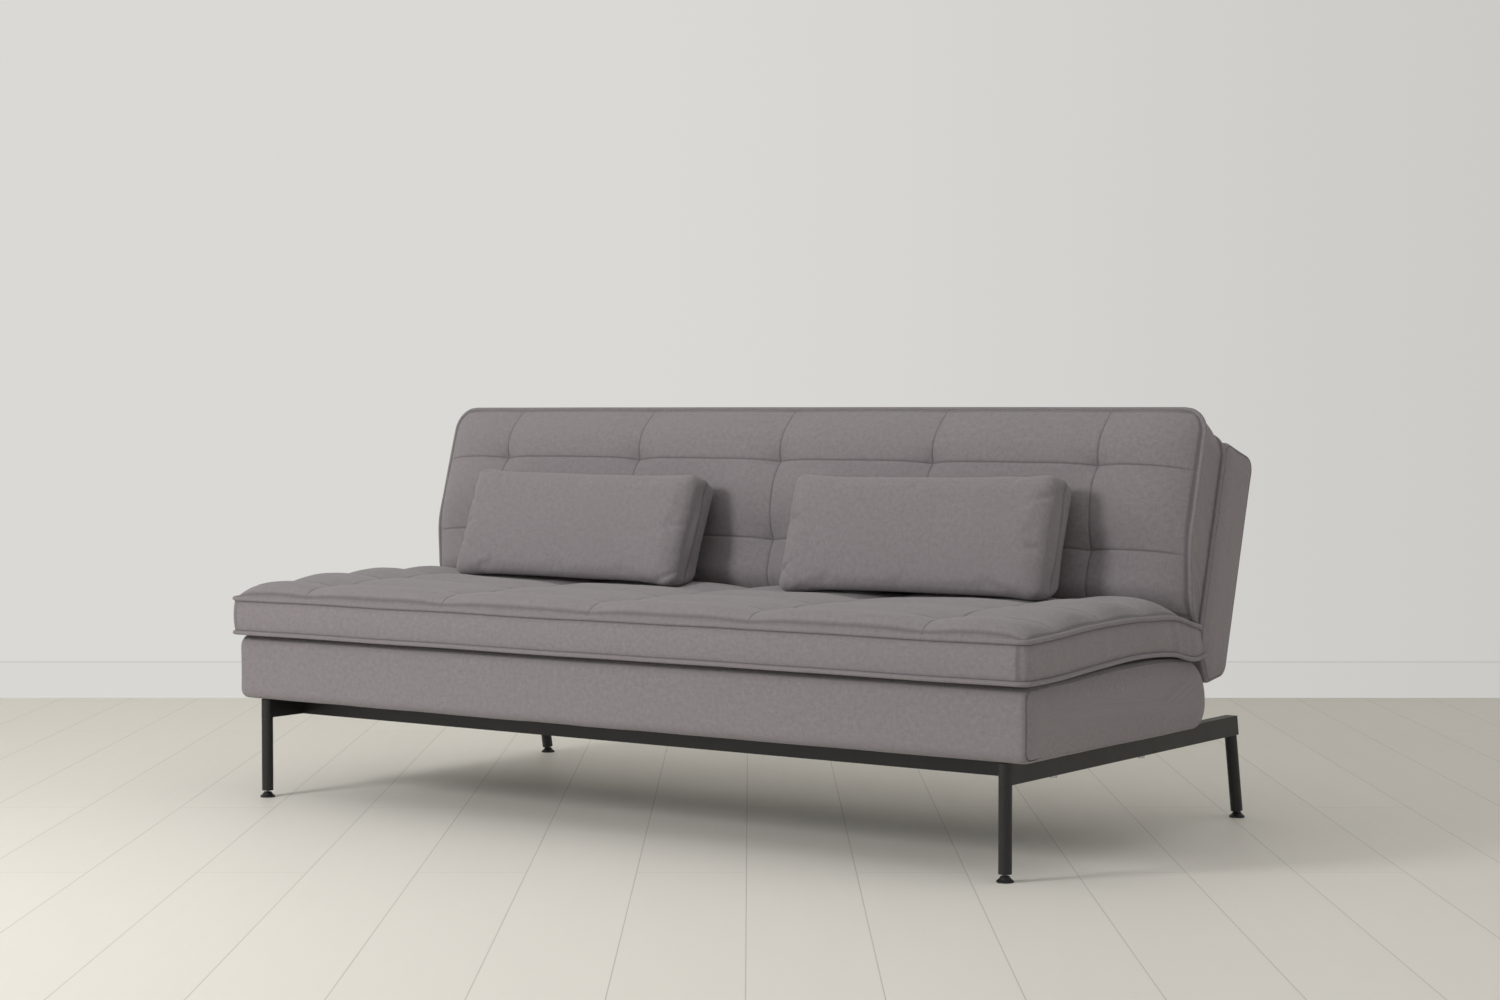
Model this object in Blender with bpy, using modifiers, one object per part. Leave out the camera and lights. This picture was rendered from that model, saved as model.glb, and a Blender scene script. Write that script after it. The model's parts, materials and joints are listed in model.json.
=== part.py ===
"""Click-clack futon sofa bed: a steel base with levelling feet, an upholstered seat box
fixed on it, an upholstered back box that reclines on two forked hinges until it lies
level with the seat, a folded futon mattress in two pads, and two loose lumbar cushions.

Metres, +Z up, the sofa faces -Y. The origin is on the floor under the middle.
The back is modelled lying flat, as a bed, round the hinge axis, and its pivot empty
then raises it to the sitting position.
"""
from math import acos, asin, atan2, cos, pi, radians, sin, sqrt, tan

import bmesh
import bpy
import numpy as np
from mathutils import Matrix, Vector

NAME = "futon_sofa_bed"
GAP = 0.0003  # between pieces that touch
SOFA_WIDTH = 2.000  # the seat pad's, the widest piece

# Base frame
LEG_INSET = 0.055  # from the side of the boxes to a leg's axis
LEG_RUN = 0.927  # from the front leg axis to the rear one, at the underside of the rail
LEG_RADIUS = 0.0125
LEG_WALL = 0.002
LEG_LENGTH = 0.1575
LEG_CAP = 0.012  # solid top of a leg, which carries the stud
SPLAY = radians(11.0)  # rear legs lean back
STUD_RADIUS = 0.004
STUD_LENGTH = 0.024
STUB_DROP = 0.0025  # how far the front stubs reach below the rails
RAIL_HEIGHT = 0.040
RAIL_WIDTH = 0.025
RAIL_WALL = 0.002
BEAM_WIDTH = 0.020
FRONT_BEAM_RUN = 0.107  # from the front leg axis to the front beam
REAR_BEAM_RUN = 0.655  # from the front leg axis to the rear beam

# Levelling feet
FOOT_RADIUS = 0.016
FOOT_RIM = 0.003
FOOT_TOP_RADIUS = 0.0078
FOOT_HEIGHT = 0.0115
BALL_RADIUS = 0.005
BALL_HEIGHT = 0.008
STEM_RADIUS = 0.0028
STEM_REACH = 0.018  # thread inside the plug
NECK = 0.0035  # bare stem between the foot and the leg
PLUG_LENGTH = 0.022

# Upholstered boxes
BOX_INSET = 0.015  # each side, inside the seat pad
BOX_HEIGHT = 0.140
BOX_SKIN = 0.012  # cloth with its wadding
BOX_EDGE = 0.018  # rounding of the side contours
SEAT_OVERHANG = 0.030  # seat box in front of the front leg axis
SEAT_RUN = 0.730  # seat box from front to rear
SEAT_NOSE = 0.025
LINING = 0.0015
RIM_LIP = 0.001  # flat part of the skin between the rounded edges and the opening
RIM_SLACK = 0.004  # between a cover's rim and what lies in its opening

# Timber in the boxes
SIDE_TIMBER = 0.045
CROSS_TIMBER = 0.018
BRACE_TIMBER = 0.030

# Zigzag springs
SPRINGS_PER_BAY = 2
SPRING_WIRE = 0.002
SPRING_SWING = 0.026
SPRING_PITCH = 0.115
SPRING_LEAD = 0.008  # straight ends
SPRING_BULGE = 0.05  # lean of the bars, as a share of a wave
SPRING_SINK = 0.006  # wire axis under the top of the timber

# Bolts that hold the seat box on the rails
BOLT_RADIUS = 0.004
BOLT_HEAD = 0.0065
BOLT_HEAD_HEIGHT = 0.005
BOLT_BITE = 0.040  # length in the timber
BOLT_RUNS = {"front": 0.170, "rear": 0.520}  # from the front leg axis

# Click-clack hinges
RECLINE = radians(73.5)  # from sitting to flat
PIVOT_BEHIND_SEAT = 0.008  # hinge axis behind the seat box
HINGE_INSET = 0.265  # from the side of the boxes
EYE_RADIUS = 0.021
HINGE_BAR = 0.012  # half the height of the bars that carry the eyes
HINGE_SLOT = 0.048  # slot in each cover, from the hinge axis
PIN_RADIUS = 0.005
PIN_HEAD = 0.009
PIN_HEAD_HEIGHT = 0.003
TONGUE = 0.008  # seat plate
CHEEK = 0.004  # each plate of the back fork
FLANGE = 0.004
FLANGE_SPAN = 0.070
FLANGE_HEIGHT = 0.080
RIVET_INSET = 0.016  # from the flange's edges
RIVET_RADIUS = 0.007
RIVET_HEIGHT = 0.002
NOTCH_CLEARANCE = 0.002

# Back box, lying flat, measured from the hinge axis
BACK_END = 0.5024
BACK_NOSE = 0.012
BACK_NOSE_RISE = 0.008
BACK_SLOPE_RUN = 0.085
BACK_HEEL_RUN = 0.048
BACK_SLOPE_RADIUS = 0.120
BACK_NOSE_RADIUS = 0.020
BACK_HEEL_RADIUS = 0.030
BACK_TOP_RADIUS = 0.020
BACK_TIMBER_RUN = 0.112  # lower cross timber

# Futon mattress, in two pads that meet at the fold
BACK_PAD_INSET = 0.0125  # each side, inside the seat pad
PAD_OVERHANG = 0.045  # seat pad in front of the front leg axis
PAD_EDGE = 0.080  # thickness at the front edge
PAD_SIDE = 0.092  # thickness half way along the side edges
PAD_CROWN = 0.118  # thickness inside the quilted fields
PAD_FALL = 0.060  # run from the crown down into the fold
PAD_SHOULDER = ((0.0, -0.1), (0.008, 0.3), (0.030, 0.8))  # (run inwards, rise)
FOLD_SHOULDER = ((0.0, 0.0), (0.030, 0.8))  # rise as a share of the crown over the edge
QUILT_COLUMN = 0.388  # between the seams across the width
QUILT_COLUMNS = 5
QUILT_ROW = 0.170
QUILT_ROWS = 4  # on the seat pad
QUILT_FIRST_ROW = 0.122  # from the seat pad's front edge
QUILT_SLOPE = 0.045  # run of the cloth that dips into a seam
QUILT_DEPTH = 0.012
QUILT_DIMPLE = 0.012  # further down where two seams cross
BACK_PAD_NECK = 0.112  # thickness of the back pad over the fold
BACK_PAD_NECK_RUN = 0.026
BACK_PAD_CROWN = 0.152
BACK_PAD_CROWN_START = 0.288  # from the hinge axis
BACK_PAD_FALL = 0.087  # from the crown to the far end
BACK_PAD_FALL_EDGE = 0.130  # crown line carried on to the far end
BACK_PAD_EDGE = 0.096
BACK_PAD_SIDE_START = 0.260
BACK_PAD_SIDE = 0.092
BACK_PAD_END = 0.542  # from the hinge axis, lying flat
BACK_PAD_FOOT = 0.517  # the same, where the pad meets the box
BACK_PAD_FIRST_ROW = 0.132  # from the far end
FOLD_SLOPE = radians(38.0)
FOLD_OFFSET = 0.0747  # fold line above the hinge axis
FOLD_TOP = 0.1345  # upper end of the fold, along its line
FOLD_LOW = 0.104

# Lumbar cushions
CUSHION_WIDTH = 0.620
CUSHION_HEIGHT = 0.256
CUSHION_DEPTH = 0.100
CUSHION_ROUND = 0.028
CUSHION_SIDE_ROUND = 0.0224
CUSHION_X = {"left": -0.435, "right": 0.450}

# Derived places
BOX_WIDTH = SOFA_WIDTH - 2 * BOX_INSET
BACK_PAD_WIDTH = SOFA_WIDTH - 2 * BACK_PAD_INSET
LEG_SPAN = BOX_WIDTH - 2 * LEG_INSET  # between the left and the right leg axes
HINGE_X = BOX_WIDTH / 2 - HINGE_INSET
LEAN = pi / 2 - RECLINE  # of the back, sitting, from the vertical
FOOT_GAP = FOOT_HEIGHT + NECK  # floor to the bottom of a front leg
LEG_TOP = FOOT_GAP + LEG_LENGTH
STUB_BOTTOM = LEG_TOP + GAP
RAIL_BOTTOM = STUB_BOTTOM + STUB_DROP
RAIL_TOP = RAIL_BOTTOM + RAIL_HEIGHT
REAR_LEG_TOP = RAIL_BOTTOM - GAP
REAR_FOOT_RUN = LEG_RUN + (REAR_LEG_TOP - BALL_HEIGHT) * tan(SPLAY)
FRONT_Y = -(REAR_FOOT_RUN + FOOT_RADIUS - PAD_OVERHANG) / 2  # front leg axis
SEAT_FRONT = FRONT_Y - SEAT_OVERHANG
SEAT_REAR = SEAT_FRONT + SEAT_RUN
BOX_BOTTOM = RAIL_TOP + GAP
BOX_TOP = BOX_BOTTOM + BOX_HEIGHT
HALF = BOX_HEIGHT / 2
PIVOT = Vector((0.0, SEAT_REAR + PIVOT_BEHIND_SEAT, BOX_BOTTOM + HALF))
TIMBER_BOTTOM = BOX_BOTTOM + LINING + GAP
TIMBER_TOP = BOX_TOP - BOX_SKIN - GAP
FORK_WIDTH = TONGUE + 2 * (CHEEK + GAP)
SIDES = {"left": -1, "right": 1}


# ---------------------------------------------------------------- scene and materials
def clear_scene():
    for obj in list(bpy.data.objects):
        bpy.data.objects.remove(obj, do_unlink=True)


def collection(name):
    group = bpy.data.collections.new(name)
    bpy.context.scene.collection.children.link(group)
    return group


def material(name, colour, roughness, metallic=0.0):
    paint = bpy.data.materials.new(name)
    paint.use_nodes = True
    shader = paint.node_tree.nodes["Principled BSDF"]
    shader.inputs["Base Color"].default_value = (*colour, 1.0)
    shader.inputs["Roughness"].default_value = roughness
    shader.inputs["Metallic"].default_value = metallic
    paint.diffuse_color = (*colour, 1.0)
    return paint


def steel(name):
    return material(name, (0.030, 0.032, 0.034), 0.42, 0.6)


def bare_steel(name):
    return material(name, (0.52, 0.52, 0.53), 0.32, 1.0)


def black_plastic(name):
    return material(name, (0.012, 0.012, 0.013), 0.45)


def timber(name):
    return material(name, (0.52, 0.36, 0.20), 0.65)


def cloth(name):
    return material(name, (0.240, 0.215, 0.226), 0.92)


def lining_cloth(name):
    return material(name, (0.020, 0.020, 0.021), 0.95)


# ---------------------------------------------------------------- solids
def finish_mesh(name, bm, paint, parent=None):
    """A mesh object in the parts' collection, with its own material."""
    mesh = bpy.data.meshes.new(name)
    bm.normal_update()
    bm.to_mesh(mesh)
    bm.free()
    obj = bpy.data.objects.new(name, mesh)
    PARTS.objects.link(obj)
    obj.parent = parent
    if paint:
        mesh.materials.append(paint(name))
    return obj


def box(name, low, high, paint, parent=None):
    bm = bmesh.new()
    bmesh.ops.create_cube(bm, size=1.0)
    size = Vector(high) - Vector(low)
    centre = (Vector(high) + Vector(low)) / 2
    bmesh.ops.scale(bm, vec=size, verts=bm.verts)
    bmesh.ops.translate(bm, vec=centre, verts=bm.verts)
    return finish_mesh(name, bm, paint, parent)


def rod(name, radius, start, end, paint=None, parent=None, sides=16):
    """A straight round bar between two points."""
    start, end = Vector(start), Vector(end)
    bm = bmesh.new()
    bmesh.ops.create_cone(
        bm, cap_ends=True, segments=sides, radius1=radius, radius2=radius,
        depth=(end - start).length,
    )
    turn = Vector((0, 0, 1)).rotation_difference(end - start).to_matrix().to_4x4()
    bmesh.ops.transform(bm, matrix=Matrix.Translation((start + end) / 2) @ turn, verts=bm.verts)
    obj = finish_mesh(name, bm, paint, parent)
    obj.data.shade_smooth()
    obj.data.set_sharp_from_angle(angle=radians(40))
    return obj


def corner_sides(corners):
    """Each corner's place, the directions to the corners beside it and half its angle."""
    for i, corner in enumerate(corners):
        here = Vector(corner[:2])
        back = (Vector(corners[i - 1][:2]) - here).normalized()
        ahead = (Vector(corners[(i + 1) % len(corners)][:2]) - here).normalized()
        yield here, back, ahead, acos(max(-1.0, min(1.0, back.dot(ahead)))) / 2


def inset(corners, distance):
    """The corners (y, z, radius) of the same convex outline, moved inwards."""
    moved = []
    for (_, _, radius), (here, back, ahead, half) in zip(corners, corner_sides(corners)):
        place = here + (back + ahead).normalized() * (distance / sin(half))
        moved.append((place.x, place.y, max(0.0, radius - distance)))
    return moved


def outline(corners, segments=5):
    """Points of a closed polygon whose corners (y, z, radius) are rounded with arcs."""
    points = []
    for (_, _, radius), (here, back, ahead, half) in zip(corners, corner_sides(corners)):
        if radius <= 0.0:
            points.append(here)
            continue
        centre = here + (back + ahead).normalized() * (radius / sin(half))
        first = here + back * (radius / tan(half)) - centre
        last = here + ahead * (radius / tan(half)) - centre
        start = atan2(first.y, first.x)
        sweep = (atan2(last.y, last.x) - start + pi) % (2 * pi) - pi
        points += [
            centre + radius * Vector((cos(start + sweep * t), sin(start + sweep * t)))
            for t in (step / segments for step in range(segments + 1))
        ]
    return points


def prism(name, loop, low, high, paint, parent=None):
    """A flat outline in the Y-Z plane, extruded from x = low to x = high."""
    curve = bpy.data.curves.new(name, "CURVE")
    curve.dimensions = "2D"
    curve.fill_mode = "BOTH"
    curve.extrude = (high - low) / 2
    spline = curve.splines.new("POLY")
    spline.points.add(len(loop) - 1)
    for point, place in zip(spline.points, loop):
        point.co = (place[0], place[1], 0.0, 1.0)
    spline.use_cyclic_u = True
    guide = bpy.data.objects.new(name, curve)
    bpy.context.scene.collection.objects.link(guide)
    bpy.context.view_layer.update()
    flat = bpy.data.meshes.new_from_object(
        guide.evaluated_get(bpy.context.evaluated_depsgraph_get())
    )
    bpy.data.objects.remove(guide, do_unlink=True)
    bm = bmesh.new()
    bm.from_mesh(flat)
    bpy.data.meshes.remove(flat)
    bpy.data.curves.remove(curve)
    bmesh.ops.remove_doubles(bm, verts=bm.verts, dist=0.00001)
    bmesh.ops.dissolve_limit(
        bm, angle_limit=radians(0.2), use_dissolve_boundaries=False, verts=bm.verts,
        edges=bm.edges,
    )
    stand = Matrix(((0, 0, 1, (low + high) / 2), (1, 0, 0, 0), (0, 1, 0, 0), (0, 0, 0, 1)))
    bmesh.ops.transform(bm, matrix=stand, verts=bm.verts)
    bmesh.ops.recalc_face_normals(bm, faces=bm.faces)
    return finish_mesh(name, bm, paint, parent)


def turned(name, profile, paint, location=(0, 0, 0), tilt=0.0, parent=None, steps=20):
    """A profile (radius, height), from the inside over the top and down, turned round Z."""
    bm = bmesh.new()
    verts = [bm.verts.new((radius, 0.0, height)) for radius, height in profile]
    for first, second in zip(verts, verts[1:]):
        bm.edges.new((first, second))
    obj = finish_mesh(name, bm, paint, parent)
    obj.location = location
    obj.rotation_euler = (tilt, 0.0, 0.0)
    screw = obj.modifiers.new("Turn", "SCREW")
    screw.axis = "Z"
    screw.steps = screw.render_steps = steps
    screw.use_merge_vertices = True
    screw.merge_threshold = 0.00001
    screw.use_smooth_shade = True
    return obj


def arc(centre, radius, start, end, segments):
    """Points (radius, height) on an arc, with angles from +X."""
    return [
        (
            max(0.0, centre[0] + radius * cos(start + (end - start) * i / segments)),
            centre[1] + radius * sin(start + (end - start) * i / segments),
        )
        for i in range(segments + 1)
    ]


def bevel(obj, width, segments=2, angle=40.0):
    rounding = obj.modifiers.new("Rounding", "BEVEL")
    rounding.width = width
    rounding.segments = segments
    rounding.limit_method = "ANGLE"
    rounding.angle_limit = radians(angle)
    rounding.use_clamp_overlap = True
    return rounding


def boolean(obj, tool, operation):
    """Cut or join with a tool object, which moves to the cutters' collection."""
    for group in tool.users_collection:
        group.objects.unlink(tool)
    CUTTERS.objects.link(tool)
    tool.hide_render = True
    tool.display_type = "WIRE"
    step = obj.modifiers.new(operation.title(), "BOOLEAN")
    step.operation = operation
    step.solver = "EXACT"
    step.object = tool


def cut(obj, tool):
    boolean(obj, tool, "DIFFERENCE")


def fuse(obj, tool):
    boolean(obj, tool, "UNION")


def box_cover(name, corners, opening, parent=None):
    """Upholstered skin of a box with an outline in the Y-Z plane, open on one flat side.

    The opening reaches from one corner (y, z) to the other, and starts inside the hollow.
    """
    cover = prism(name, outline(corners, 6), -BOX_WIDTH / 2, BOX_WIDTH / 2, cloth, parent)
    bevel(cover, BOX_EDGE)
    reach = BOX_WIDTH / 2 - BOX_SKIN
    inside = outline(inset(corners, BOX_SKIN), 6)
    cut(cover, prism(f"{name}_hollow", inside, -reach, reach, None, parent))
    rim = BOX_WIDTH / 2 - BOX_EDGE - RIM_LIP
    (near, low), (far, high) = opening
    cut(cover, box(
        f"{name}_opening", (-rim, near + RIM_LIP, low), (rim, far - RIM_LIP, high), None, parent,
    ))
    return cover


# ---------------------------------------------------------------- base frame
def rear_slant(z):
    """Y of the line behind the rear legs, which also ends the rails, at a height z."""
    rear = FRONT_Y + LEG_RUN + LEG_RADIUS / cos(SPLAY)
    return rear + (RAIL_BOTTOM - z) * tan(SPLAY)


def front_stub(side, sign):
    """Welded stub at the front end of a rail, with the blind hole for the leg's stud."""
    x = sign * LEG_SPAN / 2
    stub = rod(
        f"leg_stub_{side}", LEG_RADIUS, (x, FRONT_Y, STUB_BOTTOM), (x, FRONT_Y, RAIL_TOP),
        steel, sides=24,
    )
    hole = rod(
        f"stub_hole_{side}", STUD_RADIUS + GAP, (x, FRONT_Y, STUB_BOTTOM - STUD_LENGTH),
        (x, FRONT_Y, LEG_TOP + STUD_LENGTH + GAP),
    )
    cut(stub, hole)


def side_rail(side, sign):
    """Box-section rail, coped round the front stub and cut in line with the rear leg."""
    x = sign * LEG_SPAN / 2
    near, far = x - RAIL_WIDTH / 2, x + RAIL_WIDTH / 2
    slack = LEG_RADIUS
    ends = [
        (FRONT_Y, RAIL_BOTTOM),
        (rear_slant(RAIL_BOTTOM) - RAIL_WALL - GAP, RAIL_BOTTOM),
        (rear_slant(RAIL_TOP) - RAIL_WALL - GAP, RAIL_TOP),
        (FRONT_Y, RAIL_TOP),
    ]
    rail = prism(f"side_rail_{side}", ends, near, far, steel)
    low, high = RAIL_BOTTOM + RAIL_WALL, RAIL_TOP - RAIL_WALL
    bore = box(
        f"rail_bore_{side}", (near + RAIL_WALL, FRONT_Y - slack, low),
        (far - RAIL_WALL, rear_slant(RAIL_BOTTOM) + slack, high), None,
    )
    cut(rail, bore)
    cope = rod(
        f"rail_cope_{side}", LEG_RADIUS + GAP, (x, FRONT_Y, RAIL_BOTTOM - slack),
        (x, FRONT_Y, RAIL_TOP + slack), sides=24,
    )
    cut(rail, cope)
    stud = rod(
        f"rail_stud_hole_{side}", STUD_RADIUS + GAP, (x, FRONT_Y + LEG_RUN, RAIL_BOTTOM - slack),
        (x, FRONT_Y + LEG_RUN, RAIL_BOTTOM + slack),
    )
    cut(rail, stud)
    for end, run in BOLT_RUNS.items():
        cut(rail, bolt_hole(f"rail_{end}_bolt_hole_{side}", bolt_x(sign), FRONT_Y + run))
    cap = [
        (rear_slant(z) - depth, z)
        for z, depth in (
            (RAIL_BOTTOM, RAIL_WALL), (RAIL_BOTTOM, 0.0), (RAIL_TOP, 0.0), (RAIL_TOP, RAIL_WALL),
        )
    ]
    prism(f"rail_end_{side}", cap, near, far, steel)


def cross_beam(end, run):
    """Box-section beam between the rails; its ends are closed by them."""
    reach = LEG_SPAN / 2 - RAIL_WIDTH / 2 - GAP
    y = FRONT_Y + run
    beam = box(
        f"{end}_beam", (-reach, y - BEAM_WIDTH / 2, RAIL_BOTTOM),
        (reach, y + BEAM_WIDTH / 2, RAIL_TOP), steel,
    )
    bore = box(
        f"{end}_beam_bore", (-LEG_SPAN, y - BEAM_WIDTH / 2 + RAIL_WALL, RAIL_BOTTOM + RAIL_WALL),
        (LEG_SPAN, y + BEAM_WIDTH / 2 - RAIL_WALL, RAIL_TOP - RAIL_WALL), None,
    )
    cut(beam, bore)


def bolt_x(sign):
    """Bolts stand over the outer half of the rail, under the side timber."""
    return sign * (LEG_SPAN / 2 + RAIL_WIDTH / 2 - RAIL_WALL - BOLT_HEAD)


def bolt_hole(name, x, y):
    top = TIMBER_BOTTOM + BOLT_BITE + GAP
    return rod(name, BOLT_RADIUS + GAP, (x, y, RAIL_BOTTOM - BOLT_BITE), (x, y, top))


def seat_bolt(side, sign, end, run):
    x, y = bolt_x(sign), FRONT_Y + run
    head_top = RAIL_BOTTOM - GAP
    bolt = rod(
        f"seat_bolt_{end}_{side}", BOLT_HEAD, (x, y, head_top - BOLT_HEAD_HEIGHT),
        (x, y, head_top), bare_steel, sides=6,
    )
    shank = rod(
        f"bolt_shank_{end}_{side}", BOLT_RADIUS, (x, y, head_top - BOLT_HEAD_HEIGHT / 2),
        (x, y, TIMBER_BOTTOM + BOLT_BITE),
    )
    fuse(bolt, shank)


# ---------------------------------------------------------------- legs and feet
def leg(end, side, foot, tilt):
    """Leg tube with a solid top and a stud; foot is the ball centre its axis goes through."""
    top = LEG_TOP if end == "front" else REAR_LEG_TOP
    length = (top - foot.z) / cos(tilt)
    trim = LEG_RADIUS * tan(tilt)
    inner = LEG_RADIUS - LEG_WALL
    rise = FOOT_GAP - BALL_HEIGHT
    under = length - trim - LEG_CAP
    tube = turned(
        f"leg_{end}_{side}",
        [
            (0.0, length + trim), (LEG_RADIUS, length + trim), (LEG_RADIUS, rise),
            (inner, rise), (inner, under), (0.0, under),
        ],
        steel, foot, tilt,
    )
    head = foot + Vector((0.0, -sin(tilt), cos(tilt))) * length
    if trim:
        reach = Vector((2, 2, 0)) * LEG_RADIUS
        over = box(f"leg_trim_{side}", head - reach, head + reach + Vector((0, 0, LEG_CAP)), None)
        cut(tube, over)
    stud = rod(
        f"leg_stud_{end}_{side}", STUD_RADIUS, head - Vector((0, 0, LEG_CAP / 2)),
        head + Vector((0, 0, STUD_LENGTH)),
    )
    fuse(tube, stud)


def leg_plug(end, side, foot, tilt):
    """Threaded plug pressed into the leg's open end."""
    rise = FOOT_GAP - BALL_HEIGHT
    outer = LEG_RADIUS - LEG_WALL - GAP
    bore = STEM_RADIUS + GAP
    bore_top = rise + STEM_REACH + GAP
    top = rise + PLUG_LENGTH
    turned(
        f"leg_plug_{end}_{side}",
        [(0.0, top), (outer, top), (outer, rise), (bore, rise), (bore, bore_top), (0.0, bore_top)],
        black_plastic, foot, tilt, steps=20,
    )


def foot_stem(end, side, foot, tilt):
    """Levelling screw whose ball end stands in the foot."""
    top = FOOT_GAP - BALL_HEIGHT + STEM_REACH
    shoulder = acos(STEM_RADIUS / BALL_RADIUS)
    turned(
        f"foot_stem_{end}_{side}",
        [(0.0, top), (STEM_RADIUS, top)]
        + arc((0.0, 0.0), BALL_RADIUS, shoulder, -pi / 2, 6),
        bare_steel, foot, tilt, steps=16,
    )


def swivel_foot(end, side, foot):
    """Bell-shaped foot, flat on the floor, with the socket for the ball."""
    socket = BALL_RADIUS + GAP
    mouth = FOOT_HEIGHT - BALL_HEIGHT
    floor = -BALL_HEIGHT
    waist = (FOOT_TOP_RADIUS + FOOT_RADIUS) / 2
    turned(
        f"foot_{end}_{side}",
        arc((0.0, 0.0), socket, -pi / 2, asin(mouth / socket), 6)
        + [
            (FOOT_TOP_RADIUS, mouth), (waist, floor + 2 * FOOT_RIM),
            (FOOT_RADIUS, floor + FOOT_RIM), (FOOT_RADIUS, floor), (0.0, floor),
        ],
        black_plastic, foot,
    )


def legs_and_feet():
    for side, sign in SIDES.items():
        for end, run, tilt in (("front", 0.0, 0.0), ("rear", REAR_FOOT_RUN, SPLAY)):
            foot = Vector((sign * LEG_SPAN / 2, FRONT_Y + run, BALL_HEIGHT))
            leg(end, side, foot, tilt)
            leg_plug(end, side, foot, tilt)
            foot_stem(end, side, foot, tilt)
            swivel_foot(end, side, foot)


# ---------------------------------------------------------------- inside a box
def side_timber_x():
    """Inner and outer faces of the side timbers, from the middle."""
    outer = BOX_WIDTH / 2 - BOX_EDGE - RIM_LIP - RIM_SLACK
    return outer - SIDE_TIMBER, outer


def zigzag_spring(name, x, start, end, height, parent=None):
    """Sinuous steel wire between two cross timbers, with bars that run across."""
    length = end - start - 2 * SPRING_LEAD
    waves = max(1, round(length / SPRING_PITCH))
    steps = 6 * waves
    bulge = length / waves * SPRING_BULGE
    places = [(x, start, height)]
    for i in range(steps + 1):
        phase = 2 * pi * waves * i / steps
        along = start + SPRING_LEAD + length * i / steps - bulge * sin(2 * phase)
        places.append((x + SPRING_SWING * sin(phase), along, height))
    places.append((x, end, height))
    curve = bpy.data.curves.new(name, "CURVE")
    curve.dimensions = "3D"
    curve.bevel_depth = SPRING_WIRE
    curve.bevel_resolution = 2
    curve.use_fill_caps = True
    spline = curve.splines.new("POLY")
    spline.points.add(len(places) - 1)
    for point, place in zip(spline.points, places):
        point.co = (*place, 1.0)
    obj = bpy.data.objects.new(name, curve)
    PARTS.objects.link(obj)
    obj.parent = parent
    curve.materials.append(bare_steel(name))


def springs(label, start, end, height, parent=None):
    """Springs evenly spread in the bay on each side of the middle brace."""
    inner = BRACE_TIMBER / 2
    bay = side_timber_x()[0] - inner
    for side, sign in SIDES.items():
        for i in range(SPRINGS_PER_BAY):
            x = sign * (inner + bay * (i + 0.5) / SPRINGS_PER_BAY)
            zigzag_spring(f"{label}_spring_{side}_{i + 1}", x, start, end, height, parent)


# ---------------------------------------------------------------- seat
def seat_box():
    """Upholstered box, open underneath, with a full round rear edge."""
    corners = [
        (SEAT_FRONT, BOX_TOP, SEAT_NOSE), (SEAT_FRONT, BOX_BOTTOM, SEAT_NOSE),
        (SEAT_REAR, BOX_BOTTOM, HALF - GAP), (SEAT_REAR, BOX_TOP, HALF - GAP),
    ]
    cover = box_cover("seat_cover", corners, (
        (SEAT_FRONT + SEAT_NOSE, BOX_BOTTOM - BOX_SKIN),
        (SEAT_REAR - HALF, BOX_BOTTOM + BOX_SKIN + RIM_SLACK),
    ))
    for side, sign in SIDES.items():
        inside = PIVOT.y - HINGE_SLOT
        cut(cover, hinge_notch(f"seat_notch_{side}", sign, inside, PIVOT))
    front, rear = seat_timber_y()
    reach = side_timber_x()[1]
    dust = box(
        "seat_dust_cover", (-reach, front, BOX_BOTTOM), (reach, rear, BOX_BOTTOM + LINING),
        lining_cloth,
    )
    for side, sign in SIDES.items():
        for end, run in BOLT_RUNS.items():
            cut(dust, bolt_hole(f"dust_{end}_bolt_hole_{side}", bolt_x(sign), FRONT_Y + run))


def seat_timber_y():
    """Front and rear faces of the seat's timber frame."""
    margin = RIM_LIP + RIM_SLACK
    return SEAT_FRONT + SEAT_NOSE + margin, SEAT_REAR - HALF - margin


def seat_frame():
    front, rear = seat_timber_y()
    inner, outer = side_timber_x()
    for side, sign in SIDES.items():
        low, high = sorted((sign * inner, sign * outer))
        board = box(
            f"seat_side_timber_{side}", (low, front, TIMBER_BOTTOM), (high, rear, TIMBER_TOP),
            timber,
        )
        for end, run in BOLT_RUNS.items():
            cut(board, bolt_hole(f"timber_{end}_hole_{side}", bolt_x(sign), FRONT_Y + run))
    reach = inner - GAP
    for end, low, high in (
        ("front", front, front + CROSS_TIMBER), ("rear", rear - CROSS_TIMBER, rear),
    ):
        box(f"seat_{end}_timber", (-reach, low, TIMBER_BOTTOM), (reach, high, TIMBER_TOP), timber)
    start, end = front + CROSS_TIMBER + GAP, rear - CROSS_TIMBER - GAP
    box(
        "seat_brace", (-BRACE_TIMBER / 2, start, TIMBER_BOTTOM),
        (BRACE_TIMBER / 2, end, TIMBER_TOP), timber,
    )
    springs("seat", start, end, TIMBER_TOP - SPRING_SINK)


# ---------------------------------------------------------------- back, lying flat
def back_slope_centre():
    """Centre of the large rounding of the back box's lower front edge."""
    angle = atan2(HALF - BACK_NOSE_RISE, BACK_SLOPE_RUN - BACK_NOSE)
    return BACK_SLOPE_RUN + BACK_SLOPE_RADIUS * tan(angle / 2), HALF - BACK_SLOPE_RADIUS


def back_ceiling(run):
    """Highest timber under the back box's skin, over a point of that rounding."""
    y, z = back_slope_centre()
    if run >= y:
        return HALF - BOX_SKIN - GAP
    return z + sqrt((BACK_SLOPE_RADIUS - BOX_SKIN) ** 2 - (y - run) ** 2) - GAP


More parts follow.
